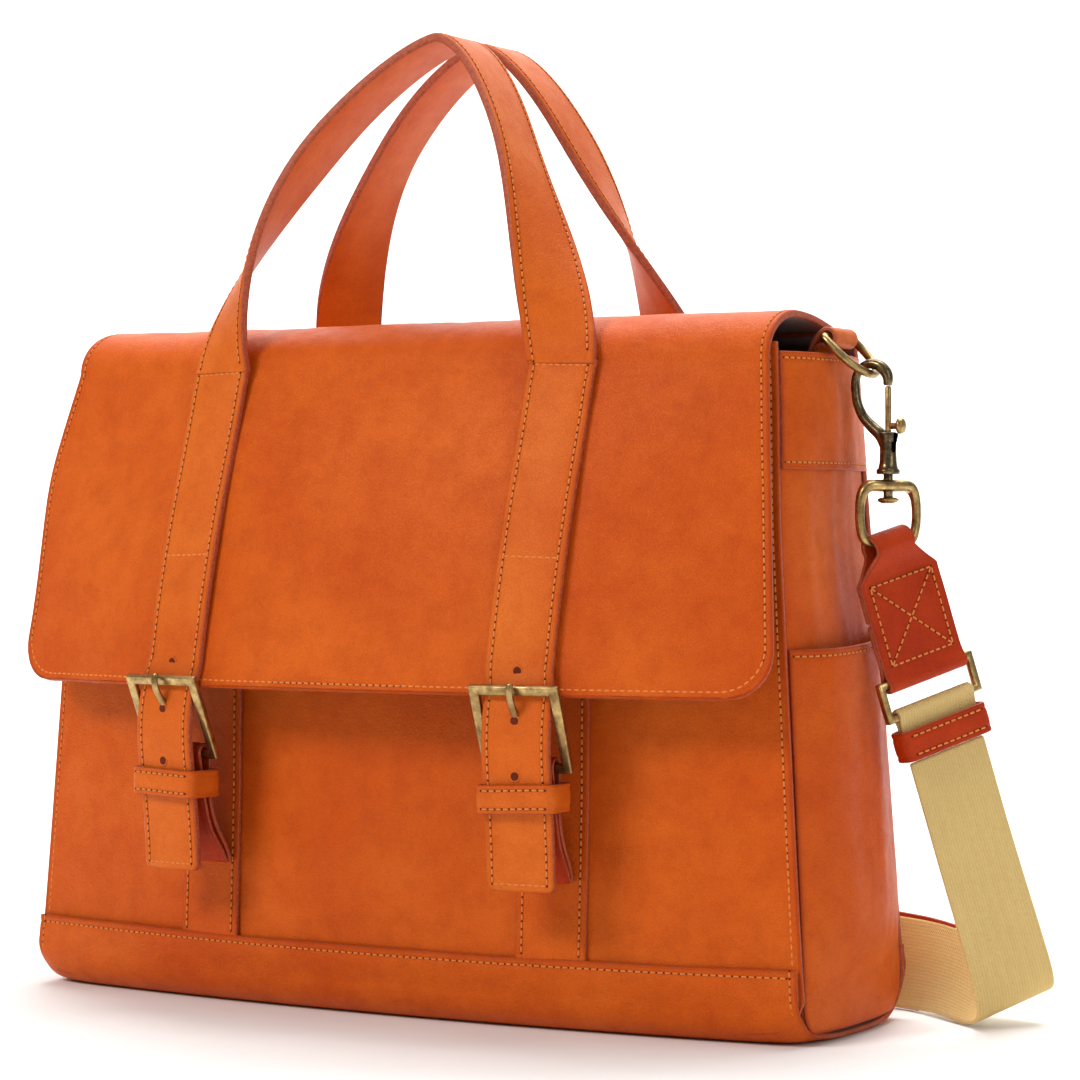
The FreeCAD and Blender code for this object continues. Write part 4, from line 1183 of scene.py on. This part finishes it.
def make_buckles():
    heel, toe = Vector((0, *HEEL)), Vector((0, *TOE))
    rise = (toe - heel).normalized()
    out = Vector((1, 0, 0)).cross(rise)
    half = (FRAME_WIDTH - 4.2) / 2
    for name, side in SIDES.items():
        corners = []
        for along, way in ((0, -1), (0, 1), (1, 1), (1, -1)):
            spot = heel + (toe - heel) * along + Vector((way * half, 0, 0))
            corners.append(closure(spot.x, spot.y, spot.z))
        facing = closure(out.x, out.y, 0) - closure(0, 0, 0) + Vector((0, 0, out.z))
        bar_loop(f"buckle_frame_skin_{name}", flipped(corners, side), flipped([facing], side)[0], 2.1, 1.5,
                 f"buckle_{name}", [f"buckle_frame_{name}"], 0.8)
        path = [(-2.8, 0.6), (-4.0, 6), (-6.0, 12.5), (-9.6, 18.2), (-14.0, 23.6), (-17.3, 28.2),
                (-18.5, 32.0), (-18.2, 35.4)]
        line = curve_through([closure(0, heel.y + y, heel.z + z) for y, z in path], 6)
        count = len(line)
        radii = [(1.9 - 0.5 * k / count, 1.25 - 0.25 * k / count) for k in range(count)]
        radii[-1] = (0.9, 0.6)
        tube(f"buckle_prong_skin_{name}", flipped(line, side), radii, f"prong_{name}",
             [f"buckle_prong_{name}"], flat_way=(1, 0, 0), sides=16, square=2.6)
        sleeve = flipped([closure(-2.3, *HEEL), closure(1, 0, 0) - closure(0, 0, 0)], side)
        turned = [(3.0, 0), (3.4, 0.4), (3.4, 4.2), (3.0, 4.6)]
        lathe(f"prong_sleeve_{name}", turned, *sleeve, f"prong_{name}")


# ---------------------------------------------------------------- handles

def handle_line(foot_y, apex_y, outward):
    foot_z = SHOULDER + 0.3
    count = 72
    points, facing = [], []
    for k in range(count + 1):
        turn = math.pi * k / count
        level = abs(math.sin(turn)) ** HANDLE_POWER
        x = -STRAP_X * math.copysign(abs(math.cos(turn)) ** HANDLE_POWER, math.cos(turn))
        x += HANDLE_LEAN * level ** 3 - HANDLE_SWAY * level * (1 - level)
        y = foot_y + (apex_y - foot_y) * level ** (1.15 if outward < 0 else 0.95)
        points.append(Vector((x, y, foot_z + HANDLE_RISE * level)))
    sewn = Vector((0, -0.3 * outward, 2.2))
    points = [points[0] - sewn] + points + [points[-1] - sewn]
    count += 2
    done = lengths_of(points)
    for k in range(len(points)):
        along = (points[min(k + 1, count)] - points[max(k - 1, 0)]).normalized()
        away = Vector((-along.z, 0, along.x))
        share = min(min(done[k], done[-1] - done[k]) / TWIST_LENGTH, 1)
        twist = math.pi / 2 * math.sin(share * math.pi / 2)
        turn = 0 if outward > 0 else STRAP_TURN * math.copysign(1, k - count / 2) * (1 - share)
        flat = Vector((-outward * math.sin(turn), outward, 0))
        facing.append(flat * math.cos(twist) + away * math.sin(twist))
    return points, facing


def make_handles():
    for name, foot, apex, outward in (("front_handle", FRONT_FOOT, FRONT_APEX, -1),
                                      ("rear_handle", REAR_FOOT, REAR_APEX, 1)):
        line, facing = handle_line(foot, apex, outward)
        ribbon(name + "_skin", line, facing, STRAP_WIDTH, HANDLE, name, [name], crown=0.35,
               rounded=(False, False))
        edge_stitches(line, facing, STRAP_WIDTH / 2, HANDLE / 2 + 0.1, name)
    for name, side in SIDES.items():
        line = [back_point(STRAP_X, z) + Vector((0, 2.3, 0)) for z in np.linspace(ANCHOR_LOW, 282.9, 30)]
        facing = [Vector((0, 1, 0))] * len(line)
        ribbon(f"rear_anchor_skin_{name}", flipped(line, side), facing, STRAP_WIDTH, HANDLE, "bag",
               [f"rear_handle_anchor_{name}"])
        edge_stitches(line, facing, STRAP_WIDTH / 2, HANDLE / 2 + 0.12, "bag", side, (SEAM, 200))


# ---------------------------------------------------------------- ring, hook and swivel

def make_tabs_and_rings():
    bar = RING_BAR
    path = [(177.2, 262), (177.3, 276), (178.2, 286), (181.5, 292.4), (185.4, 295.4)]
    looks = [(-1, 0), (-1, 0), (-1, 0.1), (-0.6, 0.8), (-0.2, 1)]
    for turn in arc(60, -90, 7):
        path.append((bar.x + 3.3 * math.cos(turn), bar.z + 3.3 * math.sin(turn)))
        looks.append((math.cos(turn), math.sin(turn)))
    path += [(183.2, 288.9), (180.2, 286.2), (179.3, 276), (179.2, 263)]
    looks += [(0.1, -1), (0.9, -0.5), (1, 0), (1, 0)]
    half = RING_HALF
    straight_part = RING_DEPTH - half
    loop = [(a, 0) for a in np.linspace(-half + 1.5, half - 1.5, 7)]
    loop += [(half, 1.5), (half, straight_part)]
    loop += [(half * math.cos(turn), straight_part + half * math.sin(turn)) for turn in arc(12, 168, 14)]
    loop += [(-half, straight_part), (-half, 1.5)]
    down = Vector((math.sin(RING_TILT), 0, -math.cos(RING_TILT)))
    ring = [bar + Vector((0, a, 0)) + down * d for a, d in loop]
    ring = curve_through(ring + ring[:1], 3)[:-1]
    flat_way = down.cross(Vector((0, 1, 0)))
    for name, side in SIDES.items():
        line = curve_through([Vector((x, bar.y, z)) for x, z in path], 4)
        facing = curve_through([Vector((x, 0, z)) for x, z in looks], 4)
        ribbon(f"dring_tab_skin_{name}", *on_side(side, line, facing), 22, 1.9, "bag",
               [f"dring_tab_{name}"], crown=0.15, seam=0, spacing=1.3)
        tube(f"dring_skin_{name}", flipped(ring, side), (RING_WIRE, RING_WIRE), f"ring_{name}",
             [f"dring_{name}"], closed=True, flat_way=flipped([flat_way], side)[0])


def open_slot(piece, foot, side):
    """Opens the slot in which the bolt's knob slides."""
    shell = bmesh.new()
    shell.from_mesh(piece.data)
    gone = []
    for face in shell.faces:
        spot = face.calc_center_median() / MM - foot
        if spot.x * side > 0.8 and abs(spot.y) < 2.3 and -7 < spot.z - SHANK_TOP < 6:
            gone.append(face)
    bmesh.ops.delete(shell, geom=gone, context="FACES")
    shell.to_mesh(piece.data)
    shell.free()


def hook_line():
    """The hook's bent wire, from its nose over the top and down to the shank: (line, radii)."""
    centre = HOOK_CENTRE
    path, radii = [], []
    nose = ((-14, 2.1), (8, 2.5), (30, 2.9), (60, 2.9), (90, 2.6), (120, 2.3), (150, 2.2), (180, 2.2))
    for turn, wire in nose:
        angle = math.radians(turn)
        path.append(centre + Vector((HOOK_RADIUS * math.cos(angle), 0, HOOK_RADIUS * math.sin(angle))))
        radii.append(wire)
    legs = [(-7.4, -4, 2.2), (-6.6, -9, 2.3), (-4.0, -14.5, 2.5), (0.2, -19, 2.9), (4.2, -22.5, 3.2),
            (6.6, -27, 3.2)]
    for x, z, wire in legs:
        path.append(centre + Vector((x, 0, z)))
        radii.append(wire)
    fine = curve_through(path, 5)
    widths = np.interp(np.linspace(0, 1, len(fine)), np.linspace(0, 1, len(radii)), radii)
    sizes = [(float(w), float(w) * 0.82) for w in widths]
    sizes[0] = (1.7, 1.4)
    return fine, sizes


def make_hooks():
    fine, sizes = hook_line()
    axis = Vector((AXIS_X, HOOK_CENTRE.y, 0))
    shank = [(3.0, SHANK_LOW - 0.2), (4.9, SHANK_LOW), (5.0, SHANK_LOW + 1.6), (4.2, SHANK_LOW + 2.4),
             (3.7, SHANK_LOW + 4.5), (3.5, SHANK_LOW + 9), (3.7, SHANK_TOP - 4), (4.2, SHANK_TOP - 1.4),
             (4.2, SHANK_TOP - 0.4), (3.2, SHANK_TOP)]
    stem = [(2, EYE_TOP - 8), (2, SHANK_LOW)]
    rivet = [(2.4, EYE_TOP - 10.4), (4.2, EYE_TOP - 9.6), (4.6, EYE_TOP - 8.6), (3.2, EYE_TOP - 7.8)]
    pin = [(1.3, SHANK_TOP - 4), (1.3, HOOK_CENTRE.z - 2.6), (0.9, HOOK_CENTRE.z - 2.0)]
    knob = [(1.4, 1.0), (1.5, 4.3), (3.2, 4.6), (3.6, 5.7), (2.9, 7.1), (0.8, 7.8)]
    coils = 12 * math.pi
    spring = [axis + Vector((1.15 * math.cos(a), 1.15 * math.sin(a), SHANK_LOW + 3.4 + 9.2 * a / coils))
              for a in np.linspace(0, coils, 120)]
    for name, side in SIDES.items():
        body = f"hook_{name}"
        hook = tube(f"hook_skin_{name}", flipped(fine, side), sizes, body, [f"snap_hook_{name}"],
                    DARK_BRASS, flat_way=(0, 1, 0), square=2.3)
        foot = flipped([axis], side)[0]
        sleeve = lathe(f"hook_shank_{name}", shank, foot, (0, 0, 1), body, (), DARK_BRASS)
        open_slot(hook, foot, side)
        open_slot(sleeve, foot, side)
        lathe(f"hook_stem_{name}", stem, foot, (0, 0, 1), body, (), DARK_BRASS)
        lathe(f"hook_rivet_{name}", rivet, foot, (0, 0, 1), body, (), BRASS)
        coil = tube(f"bolt_spring_skin_{name}", flipped(spring, side), (0.25, 0.25), body,
                    [f"bolt_spring_{name}"], WIRE, flat_way=(0, 0, 1), sides=8)
        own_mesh(coil)
        lathe(f"bolt_pin_{name}", pin, foot, (0, 0, 1), f"bolt_{name}", [f"snap_bolt_{name}"])
        lathe(f"bolt_knob_{name}", knob, foot + Vector((0, 0, SHANK_TOP + 2.6)), (side, 0, 0),
              f"bolt_{name}", (), BRASS, 10)


def eye_place(a, n, z):
    """A point of the swivel eye: along its bar, out from it, and its height."""
    cos, sin = math.cos(EYE_TURN), math.sin(EYE_TURN)
    return Vector((AXIS_X + a * cos + n * sin, RING_BAR.y + a * sin - n * cos, z))


def make_eyes():
    top = EYE_TOP - 2.9
    half = [(0, top, 2.6, 4.4), (6, top, 2.6, 4.3), (9.5, top - 0.1, 2.5, 3.6), (12.2, top - 1.6, 2.3, 2.8),
            (14.0, top - 5, 2.0, 2.2), (14.7, top - 10, 1.9, 1.9), (14.5, top - 16, 1.9, 1.9),
            (13.0, top - 21.6, 1.9, 1.9), (10.0, EYE_LOW + 0.7, 1.9, 1.9), (6, EYE_LOW, 1.9, 1.9)]
    full = half + [(0, EYE_LOW, 1.9, 1.9)] + [(-a, z, p, q) for a, z, p, q in reversed(half[1:])]
    fine = curve_through([eye_place(a, 0, z) for a, z, p, q in full + full[:1]], 5)[:-1]
    sizes = curve_through([(p, q, 0) for a, z, p, q in full + full[:1]], 5)[:-1]
    out = eye_place(0, 1, 0) - eye_place(0, 0, 0)
    for name, side in SIDES.items():
        tube(f"swivel_eye_skin_{name}", flipped(fine, side), [(q.y, q.x) for q in sizes], f"eye_{name}",
             [f"swivel_eye_{name}"], closed=True, flat_way=flipped([out], side)[0], square=2.4)


# ---------------------------------------------------------------- the strap's ends and webbing

LEVEL = Vector((math.cos(EYE_TURN), math.sin(EYE_TURN), 0))
AWAY = Vector((math.sin(EYE_TURN), -math.cos(EYE_TURN), 0))
ACROSS = LEVEL * math.cos(SLANT) + Vector((0, 0, 1)) * math.sin(SLANT)
UP = (Vector((0, 0, math.cos(SLANT))) - LEVEL * math.sin(SLANT)) * math.cos(LEAN) - AWAY * math.sin(LEAN)
OUT = ACROSS.cross(UP)
END_ORIGIN = Vector((AXIS_X, RING_BAR.y, EYE_LOW))


def end_point(a, n, u):
    """A point of the right strap end: across it, out of its face and up along it."""
    return END_ORIGIN + ACROSS * a + OUT * n + UP * u


def end_width(point):
    """The strap end's width: a neck at the eye, then chamfers out to its full width."""
    up = (Vector(point) - END_ORIGIN).dot(UP)
    return 20 + (END_WIDTH - 20) * min(max((-up - 2.5) / 10.5, 0), 1)


def fold_profile(top, low, gap, top_radius, low_radius, back_top):
    """A strap folded over one bar and under another: points and the ways that its face looks."""
    path = [(-gap, back_top), (-gap, (low + back_top) / 2), (-gap, low + low_radius * 2)]
    looks = [(-1, 0)] * 3
    for turn in arc(190, 350, 8):
        path.append((low_radius * math.cos(turn), low + low_radius * math.sin(turn)))
        looks.append((math.cos(turn), math.sin(turn)))
    path += [(gap, low + low_radius * 2), (gap, (top + low) / 2), (gap, top - top_radius * 2.2)]
    looks += [(1, 0)] * 3
    for turn in arc(-15, 195, 10):
        path.append((top_radius * math.cos(turn), top + top_radius * math.sin(turn)))
        looks.append((math.cos(turn), math.sin(turn)))
    path += [(-gap, top - top_radius * 2.2), (-gap, back_top + 1)]
    looks += [(-1, 0)] * 2
    return path, looks


def make_strap_ends():
    path, looks = fold_profile(0, -END_LENGTH, 1.15, 5.2, 3.1, -30)
    line = curve_through([end_point(0, n, u) for n, u in path], 4)
    facing = curve_through([OUT * n + UP * u for n, u in looks], 4)
    box_low, box_high, box_half = -48.5, -14.5, 16.4
    box = [(-box_half, box_high), (box_half, box_high), (box_half, box_low), (-box_half, box_low),
           (-box_half, box_high)]
    cross = [[(-box_half, box_high), (box_half, box_low)], [(box_half, box_high), (-box_half, box_low)]]
    wide = (LINK_WIDTH - 3.2) / 2
    link = [(-wide, -END_LENGTH), (wide, -END_LENGTH), (wide, LINK_LOW), (-wide, LINK_LOW)]
    for name, side in SIDES.items():
        body = f"end_{name}"
        width = lambda point, mirror=side: end_width(Vector((point[0] * mirror, point[1], point[2])))
        ribbon(f"strap_end_skin_{name}", *on_side(side, line, facing), width, 2.1, body,
               [f"strap_end_{name}"], seam=0, crown=0.12, materials=(SMALL_SKIN, CUT), spacing=1.3)
        for run in [box] + cross:
            for start, end in zip(run, run[1:]):
                spots = [end_point(a, 2.3, u) for a, u in straight(start, end, 8)]
                stitch(spots, [OUT] * 9, body, side=side)
        bar_loop(f"strap_link_skin_{name}", flipped([end_point(a, 0, u) for a, u in link], side),
                 flipped([OUT], side)[0], 1.5, 1.8, body, [f"strap_link_{name}"], 0.7)
        make_web_head(name, side, body)


def make_web_head(name, side, body):
    """The webbing's fold round the link, and the leather keeper below it."""
    path, looks = [(-1.25, LINK_LOW - 17), (-1.25, LINK_LOW - 5)], [(-1, 0)] * 2
    for turn in arc(165, 15, 9):
        path.append((2.75 * math.cos(turn), LINK_LOW + 2.75 * math.sin(turn)))
        looks.append((math.cos(turn), math.sin(turn)))
    path += [(1.25, LINK_LOW - 5), (1.25, LINK_LOW - 16)]
    looks += [(1, 0)] * 2
    line = curve_through([end_point(0, n, u) for n, u in path], 4)
    facing = curve_through([OUT * n + UP * u for n, u in looks], 4)
    ribbon(f"webbing_fold_skin_{name}", *on_side(side, line, facing), WEBBING_WIDTH, WEBBING, body,
           [f"webbing_fold_{name}"], seam=0, crown=0, materials=(WEAVE, WEAVE), spacing=1.2)
    half, deep = 22.1, 4.6
    points, ways = rounded_loop(half, -deep, deep, 2.6)
    line = [end_point(a, -b, LINK_LOW - KEEPER_DOWN) for a, b in points]
    facing = [ACROSS * a - OUT * b for a, b in ways]
    ribbon(f"webbing_keeper_skin_{name}", *on_side(side, line, facing), 13, 2.0, body,
           [f"webbing_keeper_{name}"], seam=TRIM_SEAM, crown=0.2, materials=(SMALL_SKIN, CUT), closed=True,
           spacing=1.2)
    for height in (-3.9, 3.9):
        row = [end_point(a, 5.75, LINK_LOW - KEEPER_DOWN + height) for a in np.linspace(-18.8, 18.8, 12)]
        stitch(row, [OUT] * 12, body, side=side)


def softened(values, reach):
    """The running mean of a list of vectors, with both ends kept."""
    smooth = []
    for k in range(len(values)):
        span = min(reach, k, len(values) - 1 - k)
        near = values[k - span:k + span + 1]
        smooth.append(sum(near, Vector()) / len(near))
    return smooth


def make_webbing():
    route = [end_point(0, 0, LINK_LOW - down) for down in (20, 50, 82)]
    route += [(250.5, 45, 20), (249, 50.5, 10), (240, 57, 7.7), (225, 66, 13.5), (207, 75, 18),
              (185, 80, 20), (160, 80, 20.5)]
    looks = [OUT, OUT, OUT, (0.85, -0.42, -0.3), (0.55, -0.1, -0.8), (0.09, 0.26, -0.94),
             (0.16, 0.57, -0.79), (0.18, 0.81, -0.5), (0.05, 0.95, -0.3), (0, 1, 0)]
    line, facing = softened(curve_through(route, 10), 9), softened(curve_through(looks, 10), 14)
    for name, side in SIDES.items():
        ribbon(f"webbing_side_skin_{name}", *on_side(side, line, facing), WEBBING_WIDTH, WEBBING,
               "bag", [f"webbing_side_{name}"], seam=0, crown=0, materials=(WEAVE, WEAVE))
    make_pads(line, facing)
    back = [Vector((x, 80, 20.6 + 0.4 * math.sin(x / 40))) for x in np.linspace(-160, 160, 60)]
    ribbon("webbing_back_skin", back, [Vector((0, 1, 0))] * 60, WEBBING_WIDTH, WEBBING, "bag",
           ["webbing_back"], seam=0, crown=0, materials=(WEAVE, WEAVE))


def make_pads(line, facing):
    """The sewn leather ends that back the webbing behind the bag."""
    points, looks = [Vector((140, 82, 21.8))], [Vector((0, 1, 0))]
    for point, way in zip(reversed(line), reversed(facing)):
        if point.x < 202:
            look = Vector(way).normalized()
            points.append(point + look * 2.1 + Vector((0, 0, 1.2)))
            looks.append(look)
    for name, side in SIDES.items():
        ribbon(f"webbing_pad_{name}", *on_side(side, points, looks), 42, 1.8, "bag",
               seam=TRIM_SEAM, crown=0.2, materials=(SMALL_SKIN, CUT))


# ---------------------------------------------------------------- what stays from the frame

def finish_inner_parts():
    for name, material in (("inner_divider", LINING), ("base_board", BOARD)):
        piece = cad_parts[name]
        piece.data.materials.clear()
        piece.data.materials.append(material)
        crisp(piece, 0.4)


# ---------------------------------------------------------------- studio

def area_light(name, place, target, width, height, power, colour=(1, 1, 1)):
    lamp = bpy.data.lights.new(name, "AREA")
    lamp.shape = "RECTANGLE"
    lamp.size, lamp.size_y = width, height
    lamp.energy = power
    lamp.color = colour
    holder = bpy.data.objects.new(name, lamp)
    holder.location = place
    holder.rotation_euler = (Vector(target) - Vector(place)).to_track_quat("-Z", "Y").to_euler()
    bpy.context.scene.collection.objects.link(holder)


def see_through_back(tree):
    """Clear from behind, so that the wall and the floor never hide the bag from any side."""
    behind = node(tree, "ShaderNodeNewGeometry").outputs["Backfacing"]
    clear = node(tree, "ShaderNodeBsdfTransparent").outputs[0]
    cover = tree.nodes.new("ShaderNodeMixShader")
    solid = tree.nodes["Principled BSDF"].outputs[0]
    for socket, value in zip(cover.inputs, (behind, solid, clear)):
        tree.links.new(value, socket)
    tree.links.new(cover.outputs[0], tree.nodes["Material Output"].inputs["Surface"])


def make_floor():
    """A pale floor that curves up into the wall behind the bag."""
    made, tree = new_material("studio_floor", Base_Color=(0.90, 0.90, 0.89, 1), Roughness=0.7)[:2]
    see_through_back(tree)
    radius, bend_start, reach, wall_top, gap = 6.0, 1.6, 0.9, 5.0, 0.0002
    profile = [(-radius, 0), (bend_start, 0)]
    profile += [(bend_start + reach * math.sin(t), reach * (1 - math.cos(t))) for t in arc(0, 90, 16)]
    profile += [(bend_start + reach, wall_top)]
    back = Vector((-math.sin(CAMERA_TURN), math.cos(CAMERA_TURN), 0))
    across = Vector((math.cos(CAMERA_TURN), math.sin(CAMERA_TURN), 0))
    points = [back * along + across * side + Vector((0, 0, up - gap))
              for along, up in profile for side in (-radius, radius)]
    faces = [(2 * k, 2 * k + 1, 2 * k + 3, 2 * k + 2) for k in range(len(profile) - 1)]
    mesh = bpy.data.meshes.new("studio_floor")
    mesh.from_pydata(points, [], faces)
    mesh.materials.append(made)
    for polygon in mesh.polygons:
        polygon.use_smooth = True
    floor = bpy.data.objects.new("studio_floor", mesh)
    bpy.context.scene.collection.objects.link(floor)


def make_studio():
    scene = bpy.context.scene
    scene.view_settings.view_transform = "Standard"
    make_floor()
    world = bpy.data.worlds.new("studio")
    scene.world = world
    world.use_nodes = True
    sky = world.node_tree.nodes["Background"].inputs
    sky["Color"].default_value = (1.0, 0.99, 0.975, 1)
    sky["Strength"].default_value = 0.31
    area_light("key", (-0.95, -2.35, 2.0), (0, 0, 0.15), 0.95, 0.75, 47, (1, 0.975, 0.94))
    area_light("right", (2.2, -0.6, 1.0), (0.15, 0, 0.15), 0.9, 1.4, 9, (1, 0.98, 0.96))
    area_light("top", (0.2, 0.3, 2.4), (0, 0, 0.2), 1.4, 1.2, 21)
    area_light("backdrop", (-0.2, 1.0, 2.6), (-0.9, 2.4, 0.6), 2.5, 1.0, 105)


CAMERA_PLACE, CAMERA_TARGET = Vector((0.7901, -1.2578, 0.2132)), Vector((0.0436, 0, 0.2065))
CAMERA_TURN, CAMERA_LENS, SENSOR_WIDTH = math.radians(30.69), 110.1, 36


def make_camera():
    camera = bpy.data.objects.new("camera", bpy.data.cameras.new("camera"))
    camera.data.lens = CAMERA_LENS
    camera.data.sensor_width = SENSOR_WIDTH
    camera.location = CAMERA_PLACE
    camera.rotation_euler = (CAMERA_TARGET - CAMERA_PLACE).to_track_quat("-Z", "Y").to_euler()
    bpy.context.scene.collection.objects.link(camera)
    bpy.context.scene.camera = camera


make_camera()
make_studio()
make_front()
make_back()
make_base()
make_gussets()
make_flap()
make_flap_root()
make_straps()
make_strips()
make_chapes()
make_keepers()
make_buckles()
make_handles()
make_tabs_and_rings()
make_hooks()
make_eyes()
make_strap_ends()
make_webbing()
finish_inner_parts()
for stitched_body, stitched_rows in seams.items():
    make_threads(stitched_body, stitched_rows)
    make_hole_shade_plugs(stitched_body, stitched_rows)

bpy.context.view_layer.update()
